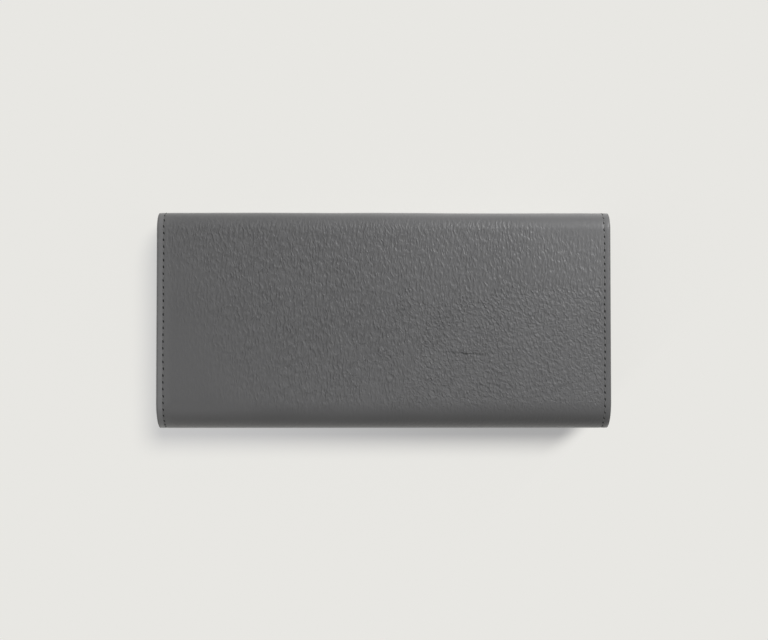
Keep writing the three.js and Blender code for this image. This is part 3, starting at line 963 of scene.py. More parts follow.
def panel_outline(half, first, last, corner, step=1.0 * MM):
    """Down the left side from first, round the end at last, and back up the right side."""
    toward = math.copysign(1, last - first)
    inner = last - toward * corner
    left = side_line(-half, first, inner, step)
    around = []
    for turn in np.radians(np.linspace(0, 90, CORNER_STEPS + 1)):
        out_x = -math.cos(turn)
        out_d = toward * math.sin(turn)
        around.append((corner - half + corner * out_x, inner + corner * out_d, out_x, out_d))
    count = round((half - corner) / step)
    across = [(x, last, 0.0, toward) for x in np.linspace(corner - half, half - corner, count + 1)[1:-1]]
    mirrored = [(-x, d, -out_x, out_d) for x, d, out_x, out_d in reversed(left + around)]
    return left + around + across + mirrored


def bead(name, course, outline, near, far, width):
    """A painted edge: an oval tube along an outline, from depth near to depth far."""
    middle = (near + far) / 2
    tall = (far - near) / 2
    points = []
    for x, d, out_x, out_d in outline:
        for side in range(SECTION_SIDES):
            angle = 2 * math.pi * side / SECTION_SIDES
            reach = width * math.cos(angle)
            depth = middle + tall * math.sin(angle)
            points.append(course.place(x + out_x * reach, d + out_d * reach, depth))
    faces = []
    for ring in range(len(outline) - 1):
        for side in range(SECTION_SIDES):
            a = ring * SECTION_SIDES + side
            b = ring * SECTION_SIDES + (side + 1) % SECTION_SIDES
            faces.append((a, b, b + SECTION_SIDES, a + SECTION_SIDES))
    last = (len(outline) - 1) * SECTION_SIDES
    faces.append(tuple(range(SECTION_SIDES))[::-1])
    faces.append(tuple(range(last, last + SECTION_SIDES)))
    made = new_piece(name, points, faces)
    faced_out(made)
    made.data.set_sharp_from_angle(angle=SHARP_LEATHER)
    made.data.materials.append(paint)
    return made


def faced_out(piece):
    """Turns every face of a closed mesh outwards."""
    shell = bmesh.new()
    shell.from_mesh(piece.data)
    bmesh.ops.recalc_face_normals(shell, faces=shell.faces)
    shell.to_mesh(piece.data)
    shell.free()


edge_far = LEATHER + LINING
flap_outline = panel_outline(hide_half, MID_SPINE, HIDE_END, CORNER)
front_outline = panel_outline(hide_half, UNDERSIDE, MOUTH, CORNER)
beads = [
    (bead("flap_edge", hide, flap_outline, PAINT_NEAR, edge_far, PAINT_WIDTH), over_hinge),
    (bead("front_edge", hide, front_outline, PAINT_NEAR, front_far, PAINT_WIDTH), over_fold),
]
for side, word in ((-1, "left"), (1, "right")):
    line = side_line(side * hide_half, UNDERSIDE, MID_SPINE)
    beads.append((bead(f"back_edge_{word}", hide, line, PAINT_NEAR, edge_far, PAINT_WIDTH), over_back))
for piece, follow in beads:
    follow(piece)
print("painted edges:", [piece.name for piece, _ in beads])

# %% [markdown]
# ## Stitching
#
# A row of stitches is the same small shape, repeated along a path at an even pitch: a job for Geometry
# Nodes. The tree takes a line whose points know which way is out of the leather. It puts a bowed length
# of thread at every step, slanted a little as a lockstitch is, and at each needle hole between two a dark
# pit of painted shade.
# A seed that never changes lets every stitch lie a little differently.

# %% The stitch tree
STITCH_PITCH = 2.9 * MM


def new_tree(name, inputs):
    """A geometry tree with a mesh in and out, and the numbers in inputs as named sockets."""
    tree = bpy.data.node_groups.new(name, "GeometryNodeTree")
    tree.interface.new_socket(name="Geometry", in_out="INPUT", socket_type="NodeSocketGeometry")
    tree.interface.new_socket(name="Geometry", in_out="OUTPUT", socket_type="NodeSocketGeometry")
    identifiers = {}
    for label, (kind, value) in inputs.items():
        socket = tree.interface.new_socket(name=label, in_out="INPUT", socket_type=kind)
        socket.default_value = value
        identifiers[label] = socket.identifier
    enter = tree.nodes.new("NodeGroupInput")
    given = {socket.name: Field(tree, socket) for socket in enter.outputs if socket.name}
    return tree, identifiers, given


def vector(field, x=0.0, y=0.0, z=0.0):
    """Three numbers as one vector."""
    return field.node("ShaderNodeCombineXYZ", {}, {0: x, 1: y, 2: z})


def join_branches(field, *branches):
    """Ends a tree: all branches as one mesh."""
    joined = field.tree.nodes.new("GeometryNodeJoinGeometry")
    for branch in branches:
        field.tree.links.new(branch.socket, joined.inputs[0])
    leave = field.tree.nodes.new("NodeGroupOutput")
    field.tree.links.new(joined.outputs[0], leave.inputs[0])


def stitch_tree():
    """The tree for a row of stitches: a length of thread and a pit of painted shade at the needle hole in
    turn.
    """
    number = "NodeSocketFloat"
    tree, identifiers, given = new_tree("stitch_row", {
        "Pitch": (number, STITCH_PITCH),
        "Thread": (number, 0.24 * MM),
        "Rise": (number, 0.12 * MM),
        "Slant": (number, math.radians(9)),
        "Stray": (number, 0.14 * MM),
        "Hole Length": (number, 1.45 * MM),
        "Hole Width": (number, 0.62 * MM),
        "Seed": ("NodeSocketInt", 1),
    })
    field = given["Geometry"]
    line = field.node("GeometryNodeMeshToCurve", {}, {"Mesh": field})
    reach = given["Pitch"] * 0.5
    steps = field.node("GeometryNodeResampleCurve", {"mode": "LENGTH"}, {"Curve": line, "Length": reach})
    odd = field.math("MODULO", field.node("GeometryNodeInputIndex"), 2.0)
    outward = field.node(
        "GeometryNodeInputNamedAttribute", {"data_type": "FLOAT_VECTOR"}, {"Name": "outward"}
    )
    tangent = field.node("GeometryNodeInputTangent")
    upright = field.node("FunctionNodeAlignRotationToVector", {"axis": "Z"}, {"Vector": outward})
    lying = field.node(
        "FunctionNodeAlignRotationToVector",
        {"axis": "X", "pivot_axis": "Z"},
        {"Rotation": upright, "Vector": tangent},
    )
    even = {2: -1.0, 3: 1.0, "Seed": given["Seed"]}
    chance = field.node("FunctionNodeRandomValue", {"data_type": "FLOAT"}, even, output=1)
    crossed = {"operation": "CROSS_PRODUCT"}
    sideways = field.node("ShaderNodeVectorMath", crossed, {0: outward, 1: tangent})
    stray = field.node(
        "ShaderNodeVectorMath", {"operation": "SCALE"}, {0: sideways, "Scale": given["Stray"] * chance}
    )
    strayed = field.node("GeometryNodeSetPosition", {}, {"Geometry": steps, "Offset": stray})
    slant = given["Slant"] * (1 + 0.6 * chance)
    turn = field.node("FunctionNodeEulerToRotation", {}, {0: vector(field, z=slant)})
    laid = field.node(
        "FunctionNodeRotateRotation", {"rotation_space": "LOCAL"}, {"Rotation": lying, "Rotate By": turn}
    )
    bow = field.node("GeometryNodeCurveQuadraticBezier", {}, {
        "Resolution": 6,
        "Start": vector(field, x=reach * -1, z=given["Thread"] * -1.2),
        "Middle": vector(field, z=given["Rise"] * 2),
        "End": vector(field, x=reach, z=given["Thread"] * -1.2),
    })
    round_wire = {"Resolution": 6, "Radius": given["Thread"]}
    section = field.node("GeometryNodeCurvePrimitiveCircle", {}, round_wire)
    swept = {"Curve": bow, "Profile Curve": section, "Fill Caps": True}
    length = field.node("GeometryNodeCurveToMesh", {}, swept)
    ball = field.node("GeometryNodeMeshUVSphere", {}, {"Segments": 10, "Rings": 4, "Radius": 0.5})
    pit = field.node("GeometryNodeTransform", {}, {
        "Geometry": ball,
        "Translation": vector(field, z=given["Thread"] * 0.1),
        "Scale": vector(field, given["Hole Length"], given["Hole Width"], given["Thread"] * 0.5),
    })
    branches = []
    # Each needle hole is a dark pit of painted shade.
    for shape, finish, chosen in ((length, thread, 1 - odd), (pit, hole_shade, odd)):
        row = field.node(
            "GeometryNodeInstanceOnPoints", {},
            {"Points": strayed, "Selection": chosen, "Instance": shape, "Rotation": laid},
        )
        real = field.node("GeometryNodeRealizeInstances", {}, {"Geometry": row})
        soft = field.node("GeometryNodeSetShadeSmooth", {}, {"Geometry": real})
        branches.append(field.node("GeometryNodeSetMaterial", {}, {"Geometry": soft, "Material": finish}))
    join_branches(field, *branches)
    return tree, identifiers


stitches, stitch_inputs = stitch_tree()
print("stitch tree:", len(stitches.nodes), "nodes, inputs", list(stitch_inputs))

# %% [markdown]
# ## Rows of stitches on the wrap
#
# The hide and its lining are sewn together along the sides and along the front's mouth, so the row shows
# on both faces. Only the flap's curled end is left plain. Each row is drawn on the flat hide as the edge
# paint was, a few millimetres further in, and goes through the same step as the panel that it sews.

# %% Sewing along a line
def run_tree(name, points, edges, outward, tree, settings):
    """Runs a geometry tree on a line of points and keeps the result as a plain mesh."""
    mesh = bpy.data.meshes.new(name)
    mesh.from_pydata([tuple(p) for p in points], edges, [])
    mesh.attributes.new("outward", "FLOAT_VECTOR", "POINT").data.foreach_set(
        "vector", np.array([tuple(o) for o in outward], dtype=np.float32).ravel()
    )
    made = bpy.data.objects.new(name, mesh)
    bpy.context.scene.collection.objects.link(made)
    nodes = made.modifiers.new("nodes", "NODES")
    nodes.node_group = tree
    for identifier, value in settings.items():
        nodes[identifier] = value
    graph = bpy.context.evaluated_depsgraph_get()
    result = bpy.data.meshes.new_from_object(made.evaluated_get(graph))
    made.modifiers.clear()
    made.data = result
    return made


def sewn_line(name, course, outline, depth, seed, inside=False):
    """A row of stitches along an outline, at a depth(x, d), on the skin or, if inside, on the lining."""
    turn = -1 if inside else 1
    x, d = np.array(outline)[None, :, :2].transpose(2, 0, 1)
    depths = np.broadcast_to(depth(x, d), x.shape)[0]
    points = [course.place(a, b, c) for a, b, c in zip(x[0], d[0], depths)]
    outward = [turn * course.out(b) for b in d[0]]
    edges = [(i, i + 1) for i in range(len(points) - 1)]
    return run_tree(name, points, edges, outward, stitches, {stitch_inputs["Seed"]: seed})


print("stitches every", round(STITCH_PITCH / MM, 1), "mm")

# %% The rows on the wrap
SEAM_LIFT = 0.03 * MM
SEAM_CORNER = 2 * MM
ROUND_END = 0.3


def seam_outline(first, last, corner):
    """The outline of a seam: like a panel's, but further in on the left than on the right."""
    inset = (STITCH_LEFT + STITCH_RIGHT) / 2
    toward = math.copysign(1, last - first)
    middle = (STITCH_LEFT - STITCH_RIGHT) / 2
    outline = panel_outline(half_width - inset, first, last - toward * STITCH_END, corner)
    return [(x + middle, d, out_x, out_d) for x, d, out_x, out_d in outline]


def on_skin(x, d):
    """Just above the hide, in its groove."""
    return hide_shape(x, d) - SEAM_LIFT


def on_lining(x, d):
    """On the lining, where it is glued to the hide."""
    return edge_far


def on_front_lining(x, d):
    """On the front's lining."""
    return front_far


front_seam = seam_outline(UNDERSIDE, MOUTH, SEAM_CORNER)
rows = [
    (sewn_line("front_stitches", hide, front_seam, on_skin, 13), over_fold),
    (sewn_line("front_lining_stitches", hide, front_seam, on_front_lining, 16, inside=True), over_fold),
]
flap_seam = seam_outline(MID_SPINE, HIDE_END, CORNER)
flap_sides = [point for point in flap_seam if abs(point[3]) < ROUND_END]
for side, x, word in ((-1, STITCH_LEFT - half_width, "left"), (1, half_width - STITCH_RIGHT, "right")):
    flap_side = [point for point in flap_sides if point[0] * side > 0]
    back_side = side_line(x, UNDERSIDE + STITCH_PITCH, MID_SPINE - STITCH_PITCH)
    seams = (("flap", flap_side, 11, over_hinge), ("back", back_side, 14, over_back))
    for part, line, seed, follow in seams:
        seen = sewn_line(f"{part}_stitches_{word}", hide, line, on_skin, seed)
        unseen = sewn_line(f"{part}_lining_stitches_{word}", hide, line, on_lining, seed + 1, inside=True)
        rows.extend([(seen, follow), (unseen, follow)])
for piece, follow in rows:
    follow(piece)
    print(f"{piece.name}: {len(piece.data.polygons)} faces")

# %% [markdown]
# ## Card slots
#
# Three sheets of the same hide lie on the front, each one step shorter than the sheet behind it, so that
# a card in each shows its top. Their top edges are turned and sewn down. One seam runs round the pile and
# another down its middle, which makes two columns of cards. They are layers too, on a flat course.

# %% The card slots
SLOT_STITCH = 2.2 * MM
SLOT_GROOVE = 0.6 * MM
SLOT_RIPPLE = {"height": 0.05 * MM, "size": 20 * MM, "seed": 3.5}
SLOT_ROW_POINTS = 120
SLOT_SEAM_START = SLOT_STITCH + 2 * MM
SLOT_SEAM_SHORT = 0.6 * MM


def slot_marks(x, d):
    """A half raised grain, rubbed at the mouth of the slot, and none of the curl's painted shade."""
    return 0.5, 0.4, 0.4 * (1 - smooth(d, 0.3 * MM, 1.2 * MM)), 0.0


def slot_shape(x, d):
    """A turned top edge: the sheet dips along its stitches, and is slightly uneven."""
    return pulled_down(d - SLOT_STITCH, SLOT_GROOVE) + waviness(x, d, **SLOT_RIPPLE)


def card_slot(number):
    """One sheet of the pile, with the flat course that its seams follow and its upper corner."""
    low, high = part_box(f"card_slot_{number}")
    flat = Course(straight((high.y, high.z), (low.y, high.z)))
    made = layer(
        f"card_sheet_{number}", flat, (0.0, high.y - low.y), high.x, 0.0, high.z - low.z, hide_finishes,
        step=COARSE_STEP, corner=(CORNER, 0.0), free=(True, True), shape=slot_shape, marks=slot_marks,
    )
    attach(made, "front")
    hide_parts(f"card_slot_{number}")
    return flat, high


def slot_seams(number, flat, high, shown):
    """The row under a slot's top edge, and its share of the side seams and of the middle seam."""
    reach = high.x - SLOT_STITCH
    across = [(x, SLOT_STITCH, 0.0, -1.0) for x in np.linspace(-reach, reach, SLOT_ROW_POINTS)]
    lines = {"top": across}
    for x, word in ((-reach, "left"), (0.0, "middle"), (reach, "right")):
        lines[word] = side_line(x, SLOT_SEAM_START, shown - SLOT_SEAM_SHORT)
    for word, line in lines.items():
        row = sewn_line(f"slot_{number}_{word}_stitches", flat, line, slot_shape, 20 + number)
        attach(row, "front")


slot_count = sum(name.startswith("card_slot_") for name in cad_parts)
tops = [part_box(f"card_slot_{number}")[1].y for number in range(1, slot_count + 1)]
for number in range(1, slot_count + 1):
    flat, high = card_slot(number)
    below = tops[number] if number < slot_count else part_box("card_slot_1")[0].y + SLOT_STITCH
    slot_seams(number, flat, high, high.y - below)
print("card slots:", slot_count)

# %% [markdown]
# ## Gussets
#
# The sides of the wallet are closed by two thin sheets folded in a W, which open like bellows when the
# front fans out. The fold lines are never sharp in leather. Cutting the corners of a zigzag line a few
# times gives an even curve through it, and that curve, swept along the side and thickened, is the sheet.

# %% The gussets
GUSSET_WALL = 0.7 * MM
GUSSET_DIP = 3.0 * MM
GUSSET_INSET = 0.3 * MM
GUSSET_FLANGE = 5 * MM
GUSSET_ROWS = 48


def eased(points, rounds):
    """A line with its corners cut a number of times, which makes them round."""
    points = np.array(points)
    for _ in range(rounds):
        ahead = 0.75 * points[:-1] + 0.25 * points[1:]
        behind = 0.25 * points[:-1] + 0.75 * points[1:]
        middle = np.stack([ahead, behind], axis=1).reshape(-1, 2)
        points = np.concatenate([points[:1], middle, points[-1:]])
    return points


def gusset(node, name, side):
    """A sheet folded in a W between the back and the front, at the left (-1) or the right (1)."""
    low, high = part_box(node)
    outer = max(abs(low.x), abs(high.x)) - GUSSET_INSET
    inner = min(abs(low.x), abs(high.x)) + GUSSET_WALL
    bottom = wrap_far + GUSSET_WALL / 2
    top = front_high.z - front_far - GUSSET_WALL / 2
    quarter = (top - bottom) / 4
    flange = outer - GUSSET_FLANGE
    line = eased([
        (flange, bottom), (outer, bottom), (inner, bottom + quarter), (outer, bottom + 2 * quarter),
        (inner, bottom + 3 * quarter), (outer, top), (flange, top),
    ], rounds=3)
    along = np.gradient(line, axis=0)
    along /= np.linalg.norm(along, axis=1)[:, None]
    across = np.stack([-along[:, 1], along[:, 0]], axis=1)
    depth = np.clip((outer - line[:, 0]) / (outer - inner), 0.0, 1.0)
    travelled = np.concatenate([[0.0], np.cumsum(np.linalg.norm(np.diff(line, axis=0), axis=1))])
    columns = len(line)
    points = []
    flat = []
    for face in (1, -1):
        edge = line + face * across * GUSSET_WALL / 2
        for row in range(GUSSET_ROWS):
            share = row / (GUSSET_ROWS - 1)
            for c in range(columns):
                y = low.y + share * (high.y - GUSSET_DIP * depth[c] - low.y)
                points.append((side * edge[c, 0], y, edge[c, 1]))
                flat.append((travelled[c], y))
    faces = grid_faces(GUSSET_ROWS, columns, 0, True)
    faces += grid_faces(GUSSET_ROWS, columns, GUSSET_ROWS * columns, False)
    faces += rim_faces(GUSSET_ROWS, columns)
    made = new_piece(name, points, faces)
    faced_out(made)
    set_skin(made.data, np.array(flat))
    made.data.materials.append(lining)
    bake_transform(made)
    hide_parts(node)
    return made


for word, side in (("left", -1), ("right", 1)):
    made = gusset(f"{word}_gusset", f"{word}_gusset_sheet", side)
    print(f"{made.name}: {len(made.data.polygons)} faces")

# %% [markdown]
# ## Coin pocket
#
# The coin pocket is a flat bag of lining leather between the two note rooms: two walls, a band between
# them, and a welt that sews it into the bottom fold. Its walls are layers again, one facing the front and
# one facing the back, with a row of stitches under the zip.

# %% The walls of the coin pocket
POCKET_STITCH = 2.0 * MM
POCKET_STEP = 3 * MM
POCKET_RIPPLE = {"height": 0.05 * MM, "size": 18 * MM, "seed": 6.5}
POCKET_ROW_POINTS = 100


def wall_shape(x, d):
    """Slightly uneven, as thin leather is."""
    return waviness(x, d, **POCKET_RIPPLE)


def pocket_wall(node, name, facing, seed):
    """A wall of the pocket whose outside faces up (1) or down (-1)."""
    low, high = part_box(node)
    if facing > 0:
        course = Course(straight((high.y, high.z), (low.y, high.z)))
        mouth = POCKET_STITCH
    else:
        course = Course(straight((low.y, low.z), (high.y, low.z)))
        mouth = high.y - low.y - POCKET_STITCH
    made = layer(
        name, course, (0.0, high.y - low.y), high.x, 0.0, high.z - low.z, lining_finishes,
        step=POCKET_STEP, free=(True, True), shape=wall_shape,
    )
    reach = high.x - POCKET_STITCH
    line = [(x, mouth, 0.0, 1.0) for x in np.linspace(-reach, reach, POCKET_ROW_POINTS)]
    row = sewn_line(f"{name}_stitches", course, line, wall_shape, seed)
    for piece in (made, row):
        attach(piece, "coin_pocket")
    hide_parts(node)


pocket_wall("coin_pocket_front", "pocket_front_wall", 1, 31)
pocket_wall("coin_pocket_rear", "pocket_rear_wall", -1, 32)

# %% Plates cut to an outline
RIM_STEPS = 3
WELD = 0.001 * MM
SHARP_PLATE = math.radians(40)


def from_curve(name, outlines, low, high, rim, upright):
    """A plate cut to outlines, the later ones holes, with round rims; upright ones are thick along Y."""
    drawing = bpy.data.curves.new(name, "CURVE")
    drawing.dimensions = "2D"
    drawing.fill_mode = "BOTH"
    drawing.extrude = (high - low) / 2 - rim
    drawing.bevel_depth = rim
    drawing.bevel_resolution = RIM_STEPS
    drawing.offset = -rim
    for outline in outlines:
        line = drawing.splines.new("POLY")
        line.points.add(len(outline) - 1)
        line.points.foreach_set("co", [v for a, b in outline for v in (a, b, 0.0, 1.0)])
        line.use_cyclic_u = True
    drawn = bpy.data.objects.new(name, drawing)
    bpy.context.scene.collection.objects.link(drawn)
    graph = bpy.context.evaluated_depsgraph_get()
    mesh = bpy.data.meshes.new_from_object(drawn.evaluated_get(graph))
    bpy.data.objects.remove(drawn)
    middle = (low + high) / 2
    shell = bmesh.new()
    shell.from_mesh(mesh)
    bmesh.ops.remove_doubles(shell, verts=shell.verts, dist=WELD)
    for vertex in shell.verts:
        a, b, thick = vertex.co
        vertex.co = (a, middle + thick, b) if upright else (a, b, middle + thick)
    bmesh.ops.recalc_face_normals(shell, faces=shell.faces)
    shell.to_mesh(mesh)
    shell.free()
    mesh.shade_smooth()
    mesh.set_sharp_from_angle(angle=SHARP_PLATE)
    return mesh


def arc(centre_a, centre_b, radius, first, last, steps):
    """Points on a round stretch of an outline, from one angle to another in degrees."""
    angles = np.radians(np.linspace(first, last, steps + 1))
    return [(centre_a + radius * math.cos(t), centre_b + radius * math.sin(t)) for t in angles]


def rectangle(low_a, high_a, low_b, high_b, radius, steps=5):
    """An outline with four round corners."""
    points = []
    corners = ((high_a, high_b, 0), (low_a, high_b, 90), (low_a, low_b, 180), (high_a, low_b, 270))
    for a, b, turn in corners:
        centre_a = a - math.copysign(radius, a - (low_a + high_a) / 2)
        centre_b = b - math.copysign(radius, b - (low_b + high_b) / 2)
        points += arc(centre_a, centre_b, radius, turn, turn + 90, steps)
    return points


def plate(node, name, outlines, low, high, rim, finish, body, upright):
    """A plate that stands for a node and rides on its body."""
    made = bpy.data.objects.new(name, from_curve(name, outlines, low, high, rim, upright))
    bpy.context.scene.collection.objects.link(made)
    made.data.materials.clear()
    made.data.materials.append(finish)
    set_skin(made.data, np.array([(v.co.x, v.co.y + v.co.z) for v in made.data.vertices]))
    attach(made, body)
    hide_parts(node)


print("plates keep an edge sharp above", round(math.degrees(SHARP_PLATE)), "degrees")

# %% The band and the welt of the coin pocket
BAND_WALL = 0.8 * MM
low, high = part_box("coin_pocket_band")
band_left = low.x + BAND_WALL
band_right = high.x - BAND_WALL
band_floor = low.y + BAND_WALL
band_line = [
    (low.x, low.y), (high.x, low.y), (high.x, high.y), (band_right, high.y),
    (band_right, band_floor), (band_left, band_floor), (band_left, high.y), (low.x, high.y),
]
plate(
    "coin_pocket_band", "pocket_band", [band_line], low.z, high.z, rim=0.2 * MM,
    finish=lining, body="coin_pocket", upright=False,
)
low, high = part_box("coin_pocket_welt")
welt_line = rectangle(low.x, high.x, low.y, high.y, radius=0.6 * MM)
plate(
    "coin_pocket_welt", "pocket_welt", [welt_line], low.z, high.z, rim=0.3 * MM,
    finish=lining, body="coin_pocket", upright=False,
)
print("coin pocket: two walls, a band and a welt")

# %% [markdown]
# ## Zip
#
# Two woven tapes face each other along the pocket's mouth, each with a comb of metal teeth. A tooth is
# the same small clamp every time, so one tree sets them along a line. On the real zip the combs part
# behind the slider, each drawn back towards its own tape as the slider travels.

# %% The tooth tree
TOOTH_PITCH = 2.4 * MM
TOOTH_WIDTH = 0.85 * MM


def tooth_tree():
    """The tree for a comb of teeth: a clamp on the cord, a shank and a round head."""
    number = "NodeSocketFloat"
    tree, identifiers, given = new_tree("zip_teeth", {
        "Pitch": (number, TOOTH_PITCH),
        "Width": (number, TOOTH_WIDTH),
        "Height": (number, 1.6 * MM),
        "Reach": (number, 1.4 * MM),
        "Root": (number, 0.6 * MM),
    })
    field = given["Geometry"]
    line = field.node("GeometryNodeMeshToCurve", {}, {"Mesh": field})
    spaced = {"Curve": line, "Length": given["Pitch"]}
    steps = field.node("GeometryNodeResampleCurve", {"mode": "LENGTH"}, spaced)
    outward = field.node(
        "GeometryNodeInputNamedAttribute", {"data_type": "FLOAT_VECTOR"}, {"Name": "outward"}
    )
    upright = field.node("FunctionNodeAlignRotationToVector", {"axis": "Z"}, {"Vector": outward})
    root_size = vector(field, given["Width"], given["Height"], given["Root"])
    cube = field.node("GeometryNodeMeshCube", {}, {"Size": root_size})
    sunk = vector(field, z=given["Root"] * -0.5)
    clamp = field.node("GeometryNodeTransform", {}, {"Geometry": cube, "Translation": sunk})
    post = field.node("GeometryNodeMeshCylinder", {}, {"Vertices": 10, "Radius": 0.5, "Depth": 1.0})
    shank = field.node("GeometryNodeTransform", {}, {
        "Geometry": post,
        "Translation": vector(field, z=given["Reach"] * 0.45),
        "Scale": vector(field, given["Width"] * 0.8, given["Height"] * 0.55, given["Reach"] * 0.9),
    })
    ball = field.node("GeometryNodeMeshUVSphere", {}, {"Segments": 10, "Rings": 6, "Radius": 0.5})
    head = field.node("GeometryNodeTransform", {}, {
        "Geometry": ball,
        "Translation": vector(field, z=given["Reach"] * 0.72),
        "Scale": vector(field, given["Width"], given["Height"] * 0.8, given["Reach"] * 0.55),
    })
    branches = []
    for shape in (clamp, shank, head):
        row = field.node(
            "GeometryNodeInstanceOnPoints", {}, {"Points": steps, "Instance": shape, "Rotation": upright}
        )
        real = field.node("GeometryNodeRealizeInstances", {}, {"Geometry": row})
        branches.append(field.node("GeometryNodeSetMaterial", {}, {"Geometry": real, "Material": nickel}))
    join_branches(field, *branches)
    return tree, identifiers


teeth, tooth_inputs = tooth_tree()
print("tooth tree:", len(teeth.nodes), "nodes")

# %% The tapes, the cords and the combs
TEETH_LEAD = 8.5 * MM
BEAD_CORD = 0.6 * MM
CORD_RADIUS = 0.34 * MM
CORD_SIDES = 12
stop_low, stop_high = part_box("zip_stop_closed")
zip_middle = (stop_low.z + stop_high.z) / 2


def comb(word, side):
    """One tape with its cord and its teeth; side is -1 on the rear wall and 1 on the front wall."""
    low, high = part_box(f"zip_tape_{word}")
    outline = rectangle(low.x, high.x, low.z, high.z, radius=0.3 * MM)
    plate(
        f"zip_tape_{word}", f"woven_tape_{word}", [outline], low.y, high.y, rim=0.12 * MM,
        finish=tape, body="coin_pocket", upright=True,
    )
    low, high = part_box(f"zip_teeth_{word}")
    middle_y = (low.y + high.y) / 2
    root = (high.z if side > 0 else low.z) - side * BEAD_CORD
    shift = TOOTH_PITCH / 2 if side > 0 else 0.0
    count = round((high.x - low.x - TEETH_LEAD) / TOOTH_PITCH)
    first = low.x + TEETH_LEAD + shift + TOOTH_WIDTH / 2
    ends = [(first, middle_y, root), (first + (count - 1) * TOOTH_PITCH, middle_y, root)]
    made = run_tree(
        f"teeth_{word}", ends, [(0, 1)], [(0, 0, -side)] * 2, teeth, {tooth_inputs["Pitch"]: TOOTH_PITCH}
    )
    cord = bead_cord(f"cord_{word}", low.x, high.x, middle_y, root + side * BEAD_CORD / 2)
    for piece in (made, cord):
        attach(piece, "coin_pocket")
        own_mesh(piece)
    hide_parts(f"zip_teeth_{word}")
    print(f"teeth_{word}: {count} teeth")


def bead_cord(name, first, last, y, z):
    """The cord in a tape's edge that the teeth are clamped on."""
    ring = arc(y, z, CORD_RADIUS, 0, 360, CORD_SIDES)[:-1]
    points = [(x, a, b) for x in (first, last) for a, b in ring]
    faces = [tuple(range(CORD_SIDES))[::-1], tuple(range(CORD_SIDES, 2 * CORD_SIDES))]
    for side in range(CORD_SIDES):
        ahead = (side + 1) % CORD_SIDES
        faces.append((side, ahead, CORD_SIDES + ahead, CORD_SIDES + side))
    made = new_piece(name, points, faces)
    faced_out(made)
    made.data.materials.append(tape)
    return made


comb("rear", -1)
comb("front", 1)
for word in ("closed", "open"):
    low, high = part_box(f"zip_stop_{word}")
    outline = rectangle(low.x, high.x, low.z, high.z, radius=0.6 * MM)
    plate(
        f"zip_stop_{word}", f"stop_{word}", [outline], low.y, high.y, rim=0.3 * MM,
        finish=nickel, body="coin_pocket", upright=True,
    )

# %% [markdown]
# ## Slider, puller and press stud
#
# Cast and stamped metal has no sharp edges, so the slider's two plates and the puller are cut from
# outlines with rounded rims. What is round about an axis is turned: a half profile of radius and height,
# spun on a lathe. The stud, the socket ring and the slider's pivot are all such turnings.

# %% Turned and joined metal
TURN_STEPS = 40
FINE_WELD = 0.0005 * MM


def turned(profile, centre, upright, closed=False):
    """Points and faces of a profile of (radius, height) spun about Z, or about Y if upright."""
    points = []
    faces = []
    for radius, height in profile:
        for step in range(TURN_STEPS):
            angle = 2 * math.pi * step / TURN_STEPS
            a = centre[0] + radius * math.cos(angle)
            b = centre[1] + radius * math.sin(angle)
            points.append((a, height, b) if upright else (a, b, height))
    rings = len(profile)
    pairs = [(r, r + 1) for r in range(rings - 1)] + ([(rings - 1, 0)] if closed else [])
    for r, s in pairs:
        near = r * TURN_STEPS
        far = s * TURN_STEPS
        for step in range(TURN_STEPS):
            ahead = (step + 1) % TURN_STEPS
            faces.append((near + step, near + ahead, far + ahead, far + step))
    return points, faces


def finish_metal(name, meshes, node, body):
    """Joins meshes into one metal piece with clean, outward faces."""
    shell = bmesh.new()
    for mesh in meshes:
        shell.from_mesh(mesh)
    bmesh.ops.remove_doubles(shell, verts=shell.verts, dist=FINE_WELD)
    bmesh.ops.dissolve_degenerate(shell, edges=shell.edges, dist=FINE_WELD)
    bmesh.ops.recalc_face_normals(shell, faces=shell.faces)
    mesh = bpy.data.meshes.new(name)
    shell.to_mesh(mesh)
    shell.free()
    mesh.shade_smooth()
    mesh.set_sharp_from_angle(angle=SHARP_PLATE)
    mesh.materials.clear()
    mesh.materials.append(nickel)
    made = bpy.data.objects.new(name, mesh)
    bpy.context.scene.collection.objects.link(made)
    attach(made, body)
    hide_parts(node)
    print(f"{name}: {len(mesh.polygons)} faces")


def spun(name, profile, centre, upright, closed=False):
    """A turned mesh from a profile in millimetres."""
    points, faces = turned([(r * MM, h) for r, h in profile], centre, upright, closed)
    mesh = bpy.data.meshes.new(name)
    mesh.from_pydata(points, [], faces)
    return mesh


print("turnings have", TURN_STEPS, "sides")

# %% The slider
PLATE = 1.0 * MM
PLATE_RIM = 0.3 * MM
OUTSIDE_CORNER = 1.4 * MM
OUTSIDE_TAPER = 0.75
INSIDE_HALF = 1.8 * MM
INSIDE_CORNER = 1.0 * MM
PULLER_PLAY = 0.3 * MM
NECK_HALF = 0.5 * MM
NECK_FROM_NOSE = 2 * MM


def tapered(nose, tail, nose_half, tail_half, middle, radius, steps=4):
    """The outline of a slider plate, wide at its nose and narrow at its tail, with round corners."""
    points = []
    corners = (
        (tail, tail_half, 0), (nose, nose_half, 90), (nose, -nose_half, 180), (tail, -tail_half, 270),
    )
    for a, half, turn in corners:
        centre_a = a + (radius if a == nose else -radius)
        centre_b = middle + half - math.copysign(radius, half)
        points += arc(centre_a, centre_b, radius, turn, turn + 90, steps)
    return points


